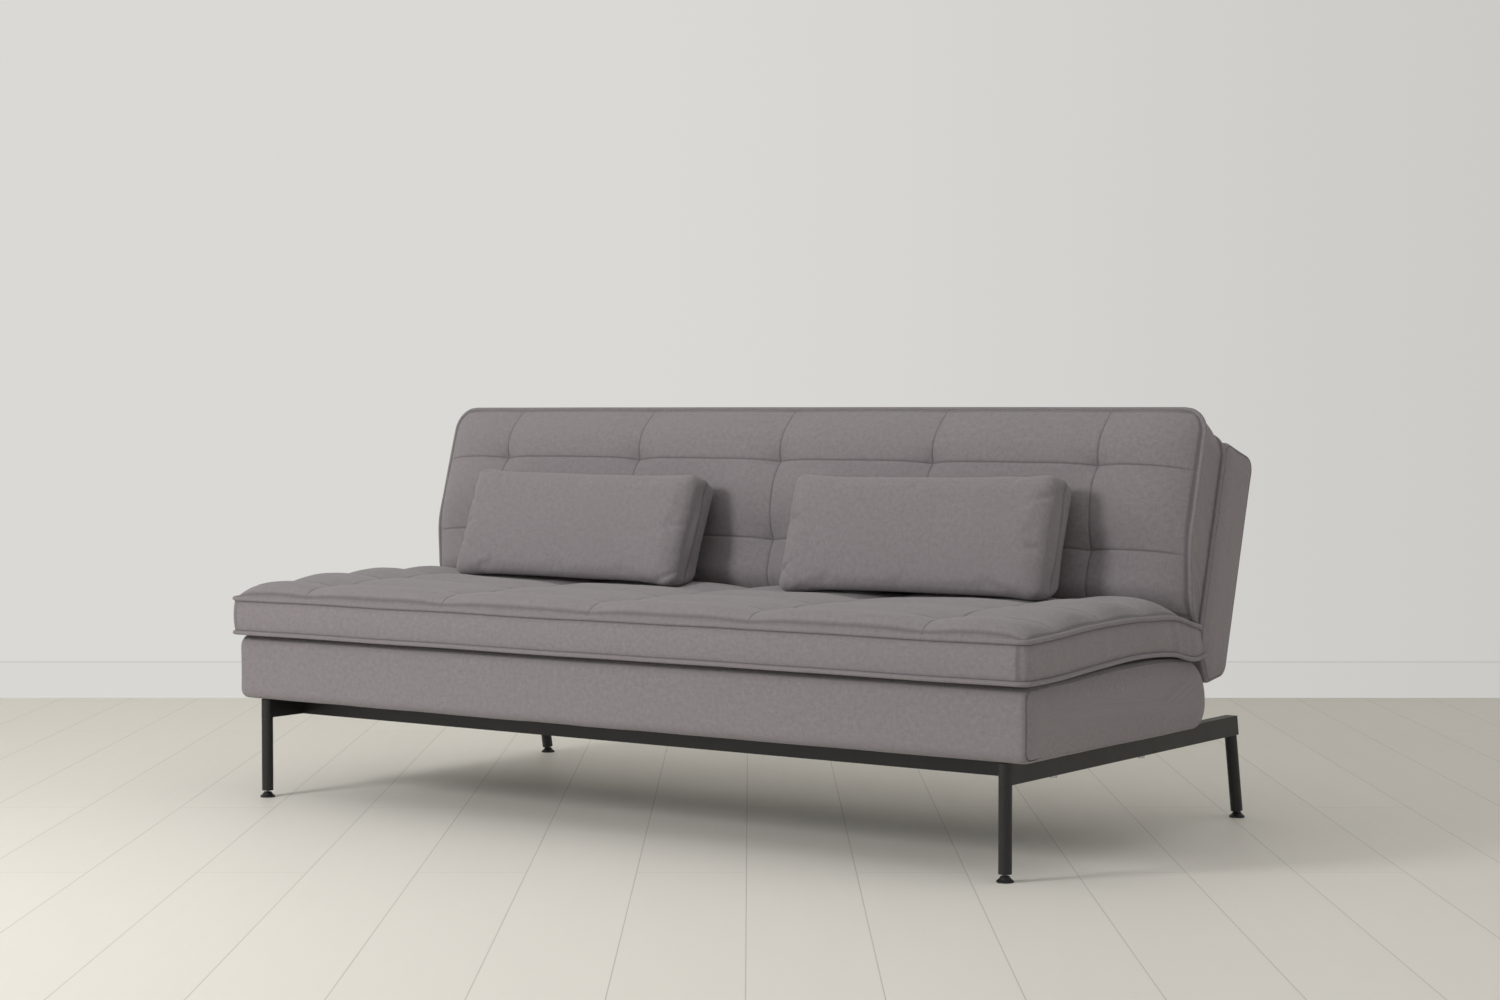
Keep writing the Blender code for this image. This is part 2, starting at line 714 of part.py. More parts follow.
def back_box(pivot):
    """Upholstered box, open towards the mattress, with its lining."""
    corners = [
        (BACK_SLOPE_RUN, HALF, BACK_SLOPE_RADIUS), (BACK_NOSE, BACK_NOSE_RISE, BACK_NOSE_RADIUS),
        (BACK_HEEL_RUN, -HALF, BACK_HEEL_RADIUS), (BACK_END, -HALF, BACK_HEEL_RADIUS),
        (BACK_END, HALF, BACK_TOP_RADIUS),
    ]
    start = back_slope_centre()[0]
    cover = box_cover("back_cover", corners, (
        (start, HALF - BOX_SKIN - RIM_SLACK), (BACK_END - BACK_TOP_RADIUS, HALF + BOX_SKIN),
    ), pivot)
    for side, sign in SIDES.items():
        cut(cover, hinge_notch(f"back_notch_{side}", sign, HINGE_SLOT, Vector(), pivot))
    reach = side_timber_x()[1]
    top = HALF - BOX_SKIN
    box(
        "back_lining", (-reach, start + RIM_LIP + RIM_SLACK, top),
        (reach, BACK_END - BACK_TOP_RADIUS - RIM_LIP - RIM_SLACK, top + LINING), lining_cloth,
        pivot,
    )


def back_frame(pivot):
    low, top = -HALF + BOX_SKIN + GAP, HALF - BOX_SKIN - GAP
    start, end = BACK_TIMBER_RUN, BACK_END - BACK_HEEL_RADIUS - GAP
    inner, outer = side_timber_x()
    side_loop = [
        (start, low), (end, low), (end, top), (back_slope_centre()[0], top),
        (start, back_ceiling(start)),
    ]
    for side, sign in SIDES.items():
        near, far = sorted((sign * inner, sign * outer))
        prism(f"back_side_timber_{side}", side_loop, near, far, timber, pivot)
    reach = inner - GAP
    first, last = start + CROSS_TIMBER, end - CROSS_TIMBER
    box(
        "back_lower_timber", (-reach, start, low), (reach, first, back_ceiling(start)), timber,
        pivot,
    )
    box("back_upper_timber", (-reach, last, low), (reach, end, top), timber, pivot)
    ceiling = back_ceiling(start)
    box(
        "back_brace", (-BRACE_TIMBER / 2, first + GAP, low),
        (BRACE_TIMBER / 2, last - GAP, ceiling), timber, pivot,
    )
    springs("back", first + GAP, last - GAP, ceiling - SPRING_SINK, pivot)


# ---------------------------------------------------------------- hinges
def plate(name, base, width, x, centre, slack=0.0, parent=None):
    """Plate in the Y-Z plane: a bar from y = base to a round eye, both grown by slack."""
    radius, bar = EYE_RADIUS + slack, HINGE_BAR + slack
    side = 1 if centre.y > base else -1
    start = asin(bar / radius)
    loop = [(base, centre.z + bar)]
    steps = 16
    for i in range(steps + 1):
        angle = start + (2 * pi - 2 * start) * i / steps
        loop.append((centre.y - side * radius * cos(angle), centre.z + radius * sin(angle)))
    loop.append((base, centre.z - bar))
    return prism(name, loop, x - width / 2, x + width / 2, None, parent)


def hinge_notch(name, sign, base, centre, parent=None):
    """Room in a cover for a hinge's bar and for the round eyes that turn in it."""
    width = FORK_WIDTH + 2 * (PIN_HEAD_HEIGHT + NOTCH_CLEARANCE)
    return plate(name, base, width, sign * HINGE_X, centre, NOTCH_CLEARANCE, parent)


def rivets(obj, name, centre, out, parent=None):
    """Flat round rivet heads at a flange's corners, fused to the face that looks along out."""
    across, rise = FLANGE_SPAN / 2 - RIVET_INSET, FLANGE_HEIGHT / 2 - RIVET_INSET
    along = Vector((0, out, 0))
    for i, (dx, dz) in enumerate((dx, dz) for dx in (-1, 1) for dz in (-1, 1)):
        place = centre + Vector((dx * across, 0, dz * rise))
        fuse(obj, rod(
            f"{name}_rivet_{i + 1}", RIVET_RADIUS, place - along * FLANGE / 2,
            place + along * RIVET_HEIGHT, parent=parent, sides=12,
        ))


def seat_hinge(side, sign):
    """Flange on the seat's rear timber with one tongue that ends in the hinge eye."""
    x = sign * HINGE_X
    face = seat_timber_y()[1] + GAP
    half = Vector((FLANGE_SPAN / 2, 0, FLANGE_HEIGHT / 2))
    centre = Vector((x, face, PIVOT.z))
    bracket = box(
        f"seat_hinge_{side}", centre - half, centre + half + Vector((0, FLANGE, 0)), steel,
    )
    tongue = plate(f"seat_tongue_{side}", face + FLANGE / 2, TONGUE, x, PIVOT)
    fuse(bracket, tongue)
    rivets(bracket, f"seat_hinge_{side}", centre + Vector((0, FLANGE, 0)), 1)
    reach = Vector((TONGUE, 0, 0))
    axis = Vector((x, PIVOT.y, PIVOT.z))
    cut(bracket, rod(f"seat_pin_hole_{side}", PIN_RADIUS + GAP, axis - reach, axis + reach))


def back_hinge(side, sign, pivot):
    """Flange on the back's lower timber with a fork of two cheeks round the tongue."""
    x = sign * HINGE_X
    face = BACK_TIMBER_RUN - GAP
    half = Vector((FLANGE_SPAN / 2, 0, FLANGE_HEIGHT / 2))
    centre = Vector((x, face, 0))
    fork = box(
        f"back_hinge_{side}", centre - half - Vector((0, FLANGE, 0)), centre + half, steel, pivot,
    )
    offset = TONGUE / 2 + GAP + CHEEK / 2
    for which, shift in (("left", -offset), ("right", offset)):
        cheek = plate(
            f"back_cheek_{which}_{side}", face - FLANGE / 2, CHEEK, x + shift, Vector(),
            parent=pivot,
        )
        fuse(fork, cheek)
    rivets(fork, f"back_hinge_{side}", centre - Vector((0, FLANGE, 0)), -1, pivot)
    reach = Vector((FORK_WIDTH, 0, 0))
    axis = Vector((x, 0, 0))
    cut(fork, rod(
        f"back_pin_hole_{side}", PIN_RADIUS + GAP, axis - reach, axis + reach, parent=pivot,
    ))


def hinge_pin(side, sign):
    """Headed pin through the fork and the tongue."""
    axis = Vector((sign * HINGE_X, PIVOT.y, PIVOT.z))
    grip = Vector((FORK_WIDTH / 2 + GAP, 0, 0))
    head = Vector((PIN_HEAD_HEIGHT, 0, 0))
    pin = rod(f"hinge_pin_{side}", PIN_RADIUS, axis - grip - head / 2, axis + grip + head / 2,
              bare_steel)
    for which, start in (("left", axis - grip - head), ("right", axis + grip)):
        fuse(pin, rod(f"pin_head_{which}_{side}", PIN_HEAD, start, start + head))


# ---------------------------------------------------------------- mattress and cushions
def fold_point(along, angle=0.0):
    """A point on the fold line between the pads, from the hinge axis, turned by an angle.

    The line falls towards the back by FOLD_SLOPE and passes FOLD_OFFSET above the axis.
    """
    normal = Vector((sin(FOLD_SLOPE), cos(FOLD_SLOPE)))
    line = Vector((-cos(FOLD_SLOPE), sin(FOLD_SLOPE)))
    point = normal * FOLD_OFFSET + line * along
    return Matrix.Rotation(angle, 2) @ point


def quilt_lines(low, high, seams, near=PAD_SHOULDER, far=PAD_SHOULDER):
    """Grid lines (place, rise, on a seam) of a pad from its low edge to its high edge."""
    first = [(low + run, rise, 0) for run, rise in near]
    last = [(high - run, rise, 0) for run, rise in reversed(far)]
    return first + [
        (place, 1.0, int(place == seam))
        for seam in seams
        for place in (seam - QUILT_SLOPE, seam, seam + QUILT_SLOPE)
        if first[-1][0] < place < last[0][0]
    ] + last


def quilted_pad(name, width, runs, side, crown, base, feet, parent=None):
    """A pad with fields of padding between its seams.

    runs are its grid lines from front to rear. side and crown give the thickness at a run,
    at the side edges and inside a field. feet holds the first and the last run at the base.
    """
    middle = (QUILT_COLUMNS - 1) / 2
    seams = [QUILT_COLUMN * (k - middle) for k in range(QUILT_COLUMNS)]
    columns = quilt_lines(-width / 2, width / 2, seams)
    last = len(runs) - 1
    bm = bmesh.new()
    bmesh.ops.create_grid(bm, x_segments=len(columns) - 1, y_segments=last, size=0.5)
    below = bmesh.ops.extrude_face_region(bm, geom=bm.faces[:], use_keep_orig=True)["geom"]
    below = [v for v in below if isinstance(v, bmesh.types.BMVert)]
    bmesh.ops.translate(bm, vec=(0, 0, -1), verts=below)
    for vert in bm.verts:
        x, rise_x, seam_x = columns[round((vert.co.x + 0.5) * (len(columns) - 1))]
        row = round((vert.co.y + 0.5) * last)
        run, rise_y, seam_y = runs[row]
        if vert.co.z < 0:
            foot = {0: feet[0], last: feet[1]}.get(row, run)
            vert.co = (x, foot, base)
            continue
        dip = QUILT_DEPTH * max(seam_x, seam_y) + QUILT_DIMPLE * seam_x * seam_y
        edge = side(run)
        rise = min(rise_x, rise_y, rise_x * rise_y)
        vert.co = (x, run, base + edge + (crown(run) - dip - edge) * rise)
    bmesh.ops.recalc_face_normals(bm, faces=bm.faces)
    top = {f for f in bm.faces if f.normal.z > 0.3}  # all but the upright walls and the base
    plain = [e for e in bm.edges if top.isdisjoint(e.link_faces)]
    bmesh.ops.dissolve_limit(
        bm, angle_limit=radians(0.2), use_dissolve_boundaries=False, edges=plain,
        verts=[v for v in bm.verts if top.isdisjoint(v.link_faces)],
    )
    bmesh.ops.triangulate(bm, faces=list(top), quad_method="SHORT_EDGE")
    pad = finish_mesh(name, bm, cloth, parent)
    pad.data.shade_smooth()


def through(*points):
    """A function that runs straight from one (run, thickness) point to the next."""
    return lambda run: float(np.interp(run, *zip(*points)))


def seat_pad():
    base = BOX_TOP + GAP
    front = FRONT_Y - PAD_OVERHANG
    here = Vector((PIVOT.y, PIVOT.z))
    top, low = here + fold_point(FOLD_TOP), here + fold_point(FOLD_LOW)
    rows = [front + QUILT_FIRST_ROW + QUILT_ROW * k for k in range(QUILT_ROWS)]
    side = through(
        (front, PAD_EDGE), ((front + top.x) / 2, PAD_SIDE), (top.x, top.y - base),
        (low.x, low.y - base),
    )
    crown = through((top.x - PAD_FALL, PAD_CROWN), (top.x, top.y - base))
    runs = quilt_lines(front, top.x, rows, far=FOLD_SHOULDER) + [(low.x, 0.0, 0)]
    quilted_pad("seat_pad", SOFA_WIDTH, runs, side, crown, base, (front, low.x))


def back_pad(pivot):
    base = HALF + GAP
    turn = -RECLINE
    top = fold_point(FOLD_TOP, turn)
    top.x += GAP
    start = fold_point(0.0, turn)
    slant = (top.x - start.x) / (top.y - start.y)
    low = top.x - (top.y - base) * slant
    first = BACK_PAD_END - BACK_PAD_FIRST_ROW
    side = through(
        (top.x, top.y - base), (BACK_PAD_SIDE_START, BACK_PAD_SIDE),
        (BACK_PAD_END, BACK_PAD_EDGE),
    )
    crown = through(
        (top.x, top.y - base), (top.x + BACK_PAD_NECK_RUN, BACK_PAD_NECK),
        (BACK_PAD_CROWN_START, BACK_PAD_CROWN),
        (BACK_PAD_END - BACK_PAD_FALL, BACK_PAD_CROWN), (BACK_PAD_END, BACK_PAD_FALL_EDGE),
    )
    rows = [first - QUILT_ROW, first]
    runs = quilt_lines(top.x, BACK_PAD_END, rows, near=FOLD_SHOULDER)
    quilted_pad(
        "back_pad", BACK_PAD_WIDTH, runs, side, crown, base, (low, BACK_PAD_FOOT), pivot,
    )


def cushion(side, x):
    """Lumbar cushion that stands on the seat pad and leans on the back pad."""
    up = Vector((sin(LEAN), cos(LEAN)))
    forward = Vector((-cos(LEAN), sin(LEAN)))
    rest = HALF + GAP + BACK_PAD_CROWN + GAP
    seat = BOX_TOP + GAP + PAD_CROWN + GAP
    rear = Vector((PIVOT.y, PIVOT.z)) + forward * rest
    front = rear + forward * CUSHION_DEPTH
    rear_low = rear + up * ((seat - rear.y) / up.y)
    front_low = front + up * ((seat - front.y) / up.y)
    front_top = front_low + up * CUSHION_HEIGHT
    rear_top = front_top - forward * CUSHION_DEPTH
    corners = [(*p, CUSHION_ROUND) for p in (front_low, front_top, rear_top, rear_low)]
    pad = prism(
        f"cushion_{side}", outline(corners, 4), x - CUSHION_WIDTH / 2, x + CUSHION_WIDTH / 2,
        cloth,
    )
    bevel(pad, CUSHION_SIDE_ROUND, 3, 50.0)
    pad.data.shade_smooth()


# ---------------------------------------------------------------- the whole sofa
def build():
    for side, sign in SIDES.items():
        front_stub(side, sign)
        side_rail(side, sign)
        for end, run in BOLT_RUNS.items():
            seat_bolt(side, sign, end, run)
    cross_beam("front", FRONT_BEAM_RUN)
    cross_beam("rear", REAR_BEAM_RUN)
    legs_and_feet()
    seat_box()
    seat_frame()
    pivot = bpy.data.objects.new("back_pivot", None)
    PARTS.objects.link(pivot)
    pivot.location = PIVOT
    pivot.rotation_euler = (RECLINE, 0.0, 0.0)
    back_box(pivot)
    back_frame(pivot)
    for side, sign in SIDES.items():
        seat_hinge(side, sign)
        back_hinge(side, sign, pivot)
        hinge_pin(side, sign)
    seat_pad()
    back_pad(pivot)
    for side, x in CUSHION_X.items():
        cushion(side, x)


clear_scene()
PARTS = collection(NAME)
CUTTERS = collection("cutters")
build()
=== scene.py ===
"""Dresses the frame of a click-clack futon sofa bed.

A quilted futon mattress in two pads, the cloth in their fold, two upholstered boxes, two
lumbar cushions, the finishes of the steel base and feet, and a plain studio round it all.

Metres, +Z up, the sofa faces -Y. The back's pieces are worked out lying flat as a bed, as
(x, run from the hinge axis, height over it), and are then turned up to the sitting position.
"""
import json
import math

import bmesh
import bpy
import numpy as np
from bpy.props import FloatProperty, FloatVectorProperty, IntProperty, PointerProperty
from mathutils import Matrix, Vector, noise
from mathutils.bvhtree import BVHTree


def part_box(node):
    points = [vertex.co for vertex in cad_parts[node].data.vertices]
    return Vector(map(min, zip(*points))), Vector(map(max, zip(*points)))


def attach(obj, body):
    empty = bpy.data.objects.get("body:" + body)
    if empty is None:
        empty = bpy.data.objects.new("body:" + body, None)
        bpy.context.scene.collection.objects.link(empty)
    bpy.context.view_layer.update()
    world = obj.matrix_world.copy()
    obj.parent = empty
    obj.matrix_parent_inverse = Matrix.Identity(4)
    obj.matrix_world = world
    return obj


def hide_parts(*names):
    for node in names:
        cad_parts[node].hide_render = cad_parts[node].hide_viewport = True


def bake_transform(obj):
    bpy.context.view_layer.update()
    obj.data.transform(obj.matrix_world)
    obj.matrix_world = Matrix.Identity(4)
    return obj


bl_info = {
    "name": "Futon Sofa Bed",
    "version": (1, 0, 0),
    "blender": (4, 5, 0),
    "location": "3D View > Sidebar > Sofa Bed",
    "description": "Quilted mattress, upholstered boxes, cushions and finishes of a sofa bed",
    "category": "Object",
}

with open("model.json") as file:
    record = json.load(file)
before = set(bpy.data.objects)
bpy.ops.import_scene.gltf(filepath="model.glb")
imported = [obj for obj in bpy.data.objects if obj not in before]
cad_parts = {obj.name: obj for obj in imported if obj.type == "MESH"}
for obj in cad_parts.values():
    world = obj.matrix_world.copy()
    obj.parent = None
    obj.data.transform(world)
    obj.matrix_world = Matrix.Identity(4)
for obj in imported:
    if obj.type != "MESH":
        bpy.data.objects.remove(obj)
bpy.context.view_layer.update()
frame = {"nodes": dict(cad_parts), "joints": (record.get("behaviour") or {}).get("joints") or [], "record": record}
NODES = frame["nodes"]

RECLINE = next(j for j in frame["joints"] if j["name"] == "back_recline")
HINGE = Vector(RECLINE["pos_m"])
SITTING = math.radians(RECLINE["range_deg"][1])
SEAT_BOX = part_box("seat_cover")
SEAT_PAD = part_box("seat_pad")
BACK_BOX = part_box("back_cover")
BACK_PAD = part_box("back_pad")
BOX_HALF = (SEAT_BOX[1].z - SEAT_BOX[0].z) / 2
CUSHIONS = {side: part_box(f"cushion_{side}") for side in ("left", "right")}

# Back box and back pad, lying flat: runs from the hinge axis
BACK_END = 0.5024
BACK_PAD_END = 0.542
BACK_PAD_FOOT = 0.517

# The fold between the pads: its plane leans by this angle and passes over the hinge axis
FOLD_SLOPE = math.radians(38.0)
FOLD_OFFSET = 0.0747
FOLD_MOUTH = 0.1345  # from the foot of the perpendicular up to the valley
FOLD_FOOT = 0.104
FOLD_CLOTH = 0.008  # the folded cloth between the pads

BOXING_STEPS = (0.05, 0.075, 0.11, 0.2, 0.32, 0.44, 0.56, 0.68, 0.8, 0.89, 0.925, 0.95)
SEAM_RUNS = (0.0012, 0.003, 0.007, 0.014)
EDGE_RUNS = (0.0025, 0.006, 0.011, 0.018, 0.027)


# ------------------------------------------------------------------ shaders
class Link:
    """A shader socket that adds Math or Vector Math nodes when it stands in an expression."""

    def __init__(self, shader, socket):
        self.shader, self.socket = shader, socket

    def _maths(self, operation, first, second):
        sockets = [x.socket for x in (first, second) if isinstance(x, Link)]
        vector = any(s.type in {"VECTOR", "RGBA"} for s in sockets)
        kind = "ShaderNodeVectorMath" if vector else "ShaderNodeMath"
        return self.shader.add(kind, {"operation": operation}, {0: first, 1: second})

    def __add__(self, other):
        return self._maths("ADD", self, other)

    def __radd__(self, other):
        return self._maths("ADD", other, self)

    def __sub__(self, other):
        return self._maths("SUBTRACT", self, other)

    def __rsub__(self, other):
        return self._maths("SUBTRACT", other, self)

    def __mul__(self, other):
        return self._maths("MULTIPLY", self, other)

    def __rmul__(self, other):
        return self._maths("MULTIPLY", other, self)

    def __truediv__(self, other):
        return self._maths("DIVIDE", self, other)

    def __pow__(self, other):
        return self._maths("POWER", self, other)


class Shader:
    def __init__(self, name, **constants):
        self.material = bpy.data.materials.new(name)
        self.material.use_nodes = True
        self.tree = self.material.node_tree
        self.surface = self.tree.nodes["Principled BSDF"]
        for socket, value in constants.items():
            self.surface.inputs[socket.replace("_", " ")].default_value = value

    def add(self, kind, settings=None, sockets=None, output=0):
        """A node of a kind: its settings first, then the values or links of its sockets."""
        node = self.tree.nodes.new(kind)
        for key, value in (settings or {}).items():
            if key == "stops":
                self._stops(node.color_ramp, value)
            else:
                setattr(node, key, value)
        for key, value in (sockets or {}).items():
            self._feed(self._find(node.inputs, key), value)
        return Link(self, self._find(node.outputs, output))

    @staticmethod
    def _find(sockets, key):
        if isinstance(key, int):
            return sockets[key]
        return next(s for s in sockets if key in (s.identifier, s.name))

    def _feed(self, socket, value):
        if isinstance(value, Link):
            self.tree.links.new(value.socket, socket)
            return
        size = len(socket.default_value) if hasattr(socket.default_value, "__len__") else 0
        if size and not hasattr(value, "__len__"):
            value = (value,) * size
        if size == 4 and len(value) == 3:
            value = (*value, 1.0)
        socket.default_value = value

    @staticmethod
    def _stops(ramp, stops):
        while len(ramp.elements) < len(stops):
            ramp.elements.new(1.0)
        for element, (place, value) in zip(ramp.elements, stops):
            element.position = place
            element.color = (value, value, value, 1.0)

    def attribute(self, name, output):
        return self.add("ShaderNodeAttribute", {"attribute_name": name}, output=output)

    def noise(self, place, scale, detail=2.0, roughness=0.5):
        return self.add(
            "ShaderNodeTexNoise", {},
            {"Vector": place, "Scale": scale, "Detail": detail, "Roughness": roughness},
            "Fac",
        )

    def ramp(self, value, *stops):
        """A number led through a ramp of (place, value) stops."""
        return self.add("ShaderNodeValToRGB", {"stops": stops}, {"Fac": value}, "Color")

    def mix(self, first, second, share, blend="MIX"):
        return self.add(
            "ShaderNodeMix", {"data_type": "RGBA", "blend_type": blend},
            {"Factor_Float": share, "A_Color": first, "B_Color": second}, "Result_Color",
        )

    def bump(self, height, distance, strength=1.0, normal=None):
        sockets = {"Height": height, "Distance": distance, "Strength": strength}
        if normal:
            sockets["Normal"] = normal
        return self.add("ShaderNodeBump", {}, sockets, "Normal")

    def finish(self, **links):
        for socket, value in links.items():
            self._feed(self.surface.inputs[socket.replace("_", " ")], value)
        return self.material


def scaled(colour, factor):
    return tuple(c * factor for c in colour[:3])


def linen(name, colour, look):
    """Matt woven cloth: a plain weave with slubs, a heather of lighter and darker yarn,
    a dusty sheen, and painted shade down in the seams and creases and along the pipings."""
    shader = Shader(
        name, Sheen_Weight=look.sheen, Sheen_Roughness=0.45,
        Sheen_Tint=(1.0, 0.97, 0.97, 1.0), Specular_IOR_Level=0.25,
    )
    place = shader.attribute("cloth", "Vector")
    run = shader.add("ShaderNodeSeparateXYZ", {}, {"Vector": place}, "X")
    rise = shader.add("ShaderNodeSeparateXYZ", {}, {"Vector": place}, "Y")
    turns = 2 * math.pi / look.thread
    warp = shader.add("ShaderNodeMath", {"operation": "SINE"}, {0: run * turns})
    weft = shader.add("ShaderNodeMath", {"operation": "SINE"}, {0: rise * turns})
    weave = warp * weft * 0.5 + 0.5
    long_slub = shader.noise(place * (45.0, 600.0, 1.0), 1.0, 2.0)
    cross_slub = shader.noise(place * (600.0, 45.0, 1.0), 1.0, 2.0)
    heather = shader.noise(place, 330.0, 4.0, 0.7)
    drift = shader.noise(place, 5.0, 2.0)
    mottle = shader.noise(place, 95.0, 3.0, 0.65)
    yarn = (long_slub + cross_slub) * 0.15 + heather * 0.35 + mottle * 0.35
    light, dark = scaled(colour, 1.24), scaled(colour, 0.78)
    tint = shader.mix(dark, light, shader.ramp(yarn, (0.36, 0.0), (0.64, 1.0)))
    tint = shader.mix(tint, scaled(colour, 0.95), drift * 0.5)
    # Painted shade: the crease attribute darkens the cloth in seams, creases, along pipings and in the fold.
    tint = shader.mix(tint, scaled(colour, 0.30), shader.attribute("crease", "Fac"))
    height = weave * 0.45 + (long_slub + cross_slub) * 0.4 + heather * 0.8
    fuzz = shader.bump(height, look.thread * 0.5, 0.7)
    return shader.finish(
        Base_Color=tint, Roughness=0.86 + 0.1 * yarn, Normal=fuzz,
    )


def powder_coat(name, colour, roughness):
    """Satin powder paint: a faint orange peel, and a slightly rubbed gloss."""
    shader = Shader(name, Specular_IOR_Level=0.45)
    place = shader.add("ShaderNodeTexCoord", output="Object")
    peel = shader.noise(place, 900.0, 2.0)
    rub = shader.noise(place, 14.0, 4.0, 0.6)
    tint = shader.mix(scaled(colour, 0.85), scaled(colour, 1.25), rub)
    return shader.finish(
        Base_Color=tint, Roughness=roughness - 0.08 + 0.16 * rub,
        Normal=shader.bump(peel, 0.00025, 0.25),
    )


def bright_steel(name, colour):
    """Zinc-plated steel, brushed along its length."""
    shader = Shader(name, Metallic=1.0)
    place = shader.add("ShaderNodeTexCoord", output="Object")
    brushed = shader.noise(place * (900.0, 900.0, 60.0), 1.0, 3.0)
    return shader.finish(
        Base_Color=shader.mix(scaled(colour, 0.8), scaled(colour, 1.1), brushed),
        Roughness=0.26 + 0.16 * brushed, Normal=shader.bump(brushed, 0.0001, 0.2),
    )


def threaded_steel(name, colour, pitch):
    """Plated levelling screw with its thread; its roots are darkened with painted shade."""
    shader = Shader(name, Metallic=1.0)
    place = shader.add("ShaderNodeTexCoord", output="Object")
    height = shader.add("ShaderNodeSeparateXYZ", {}, {"Vector": place}, "Z")
    thread = shader.add("ShaderNodeMath", {"operation": "SINE"}, {0: height * (2 * math.pi / pitch)})
    dull = shader.noise(place, 300.0, 3.0)
    # Painted shade: the thread's roots are half as bright as its crests.
    return shader.finish(
        Base_Color=shader.mix(scaled(colour, 0.5), colour, thread * 0.5 + 0.5),
        Roughness=0.3 + 0.2 * dull, Normal=shader.bump(thread, pitch * 0.3, 0.8),
    )


def moulded_plastic(name, colour):
    """Black moulded plastic with a fine spark-eroded grain."""
    shader = Shader(name, Specular_IOR_Level=0.4)
    place = shader.add("ShaderNodeTexCoord", output="Object")
    grain = shader.noise(place, 1600.0, 2.0)
    wear = shader.noise(place, 60.0, 3.0)
    return shader.finish(
        Base_Color=shader.mix(scaled(colour, 0.8), scaled(colour, 1.8), wear * 0.6),
        Roughness=0.38 + 0.2 * wear, Normal=shader.bump(grain, 0.0002, 0.3),
    )


def pine(name, colour):
    """Planed softwood with growth rings along the length."""
    shader = Shader(name, Specular_IOR_Level=0.3)
    place = shader.add("ShaderNodeTexCoord", output="Object")
    warped = place * (1.0, 6.0, 6.0) + shader.noise(place, 3.0) * 0.4
    rings = shader.noise(warped, 14.0, 4.0, 0.6)
    fibre = shader.noise(place * (20.0, 400.0, 400.0), 1.0, 2.0)
    tint = shader.mix(scaled(colour, 1.15), scaled(colour, 0.62),
                      shader.ramp(rings, (0.35, 0.0), (0.62, 1.0)))
    return shader.finish(
        Base_Color=shader.mix(tint, scaled(colour, 0.8), fibre * 0.4),
        Roughness=0.6 + 0.2 * fibre, Normal=shader.bump(fibre, 0.0003, 0.4),
    )


def spunbond(name, colour):
    """Black non-woven dust cloth with its grid of heat-pressed dots."""
    shader = Shader(name, Specular_IOR_Level=0.2, Sheen_Weight=0.2)
    place = shader.add("ShaderNodeTexCoord", output="Object")
    dots = shader.add(
        "ShaderNodeTexVoronoi", {"feature": "DISTANCE_TO_EDGE"},
        {"Vector": place, "Scale": 400.0, "Randomness": 0.15}, "Distance",
    )
    fibres = shader.noise(place * (300.0, 60.0, 60.0), 1.0, 4.0, 0.7)
    return shader.finish(
        Base_Color=shader.mix(scaled(colour, 0.7), scaled(colour, 1.8), fibres),
        Roughness=0.85 + 0.1 * fibres, Normal=shader.bump(dots + fibres * 0.5, 0.0003, 0.5),
    )


# ------------------------------------------------------------------ mesh helpers
def curve_through(points):
    """A smooth function through (place, value) points."""
    places, values = np.array(points, float).T
    slopes = np.gradient(values, places)

    def at(x):
        x = np.clip(x, places[0], places[-1])
        i = np.clip(np.searchsorted(places, x) - 1, 0, len(places) - 2)
        width = places[i + 1] - places[i]
        s = (x - places[i]) / width
        return (
            values[i] * (1 + 2 * s) * (1 - s) ** 2 + slopes[i] * width * s * (1 - s) ** 2
            + values[i + 1] * s * s * (3 - 2 * s) + slopes[i + 1] * width * s * s * (s - 1)
        )

    return at


def smoothstep(low, high, x):
    t = np.clip((x - low) / (high - low), 0, 1)
    return t * t * (3 - 2 * t)


def ripple(points, scale, seed=0.0):
    """Smooth noise from -1 to 1 at points, a bump per 1 / scale metres."""
    shift = Vector((seed, seed * 1.7, -seed))
    flat = np.asarray(points, float).reshape(-1, 3)
    values = [noise.noise(Vector(p) * scale + shift) for p in flat]
    return np.array(values).reshape(np.asarray(points).shape[:-1])


def grid_lines(low, high, step, seams):
    """Even lines from low to high, with close ones beside each seam and at both ends."""
    keep = {low, high}
    for seam in seams:
        keep.update([seam] + [seam + side * run for run in SEAM_RUNS for side in (-1, 1)])
    for run in EDGE_RUNS:
        keep.update([low + run, high - run])
    close = np.array(sorted(x for x in keep if low <= x <= high))
    even = np.linspace(low, high, int(round((high - low) / step)) + 1)
    apart = np.abs(even[:, None] - close).min(1) > step * 0.35
    return np.sort(np.concatenate([close, even[apart]]))


def upright(points):
    """From the back lying flat to its sitting place."""
    x, run, height = np.moveaxis(np.asarray(points, float), -1, 0)
    c, s = math.cos(SITTING), math.sin(SITTING)
    return np.stack([x, HINGE.y + run * c - height * s, HINGE.z + run * s + height * c], -1)


def as_is(points):
    return np.asarray(points, float)


def store(mesh, key, values):
    """Keeps a number or a vector for each point of a mesh."""
    values = np.asarray(values, np.float32)
    vector = values.ndim == 2
    layer = mesh.attributes.new(key, "FLOAT_VECTOR" if vector else "FLOAT", "POINT")
    layer.data.foreach_set("vector" if vector else "value", values.ravel())


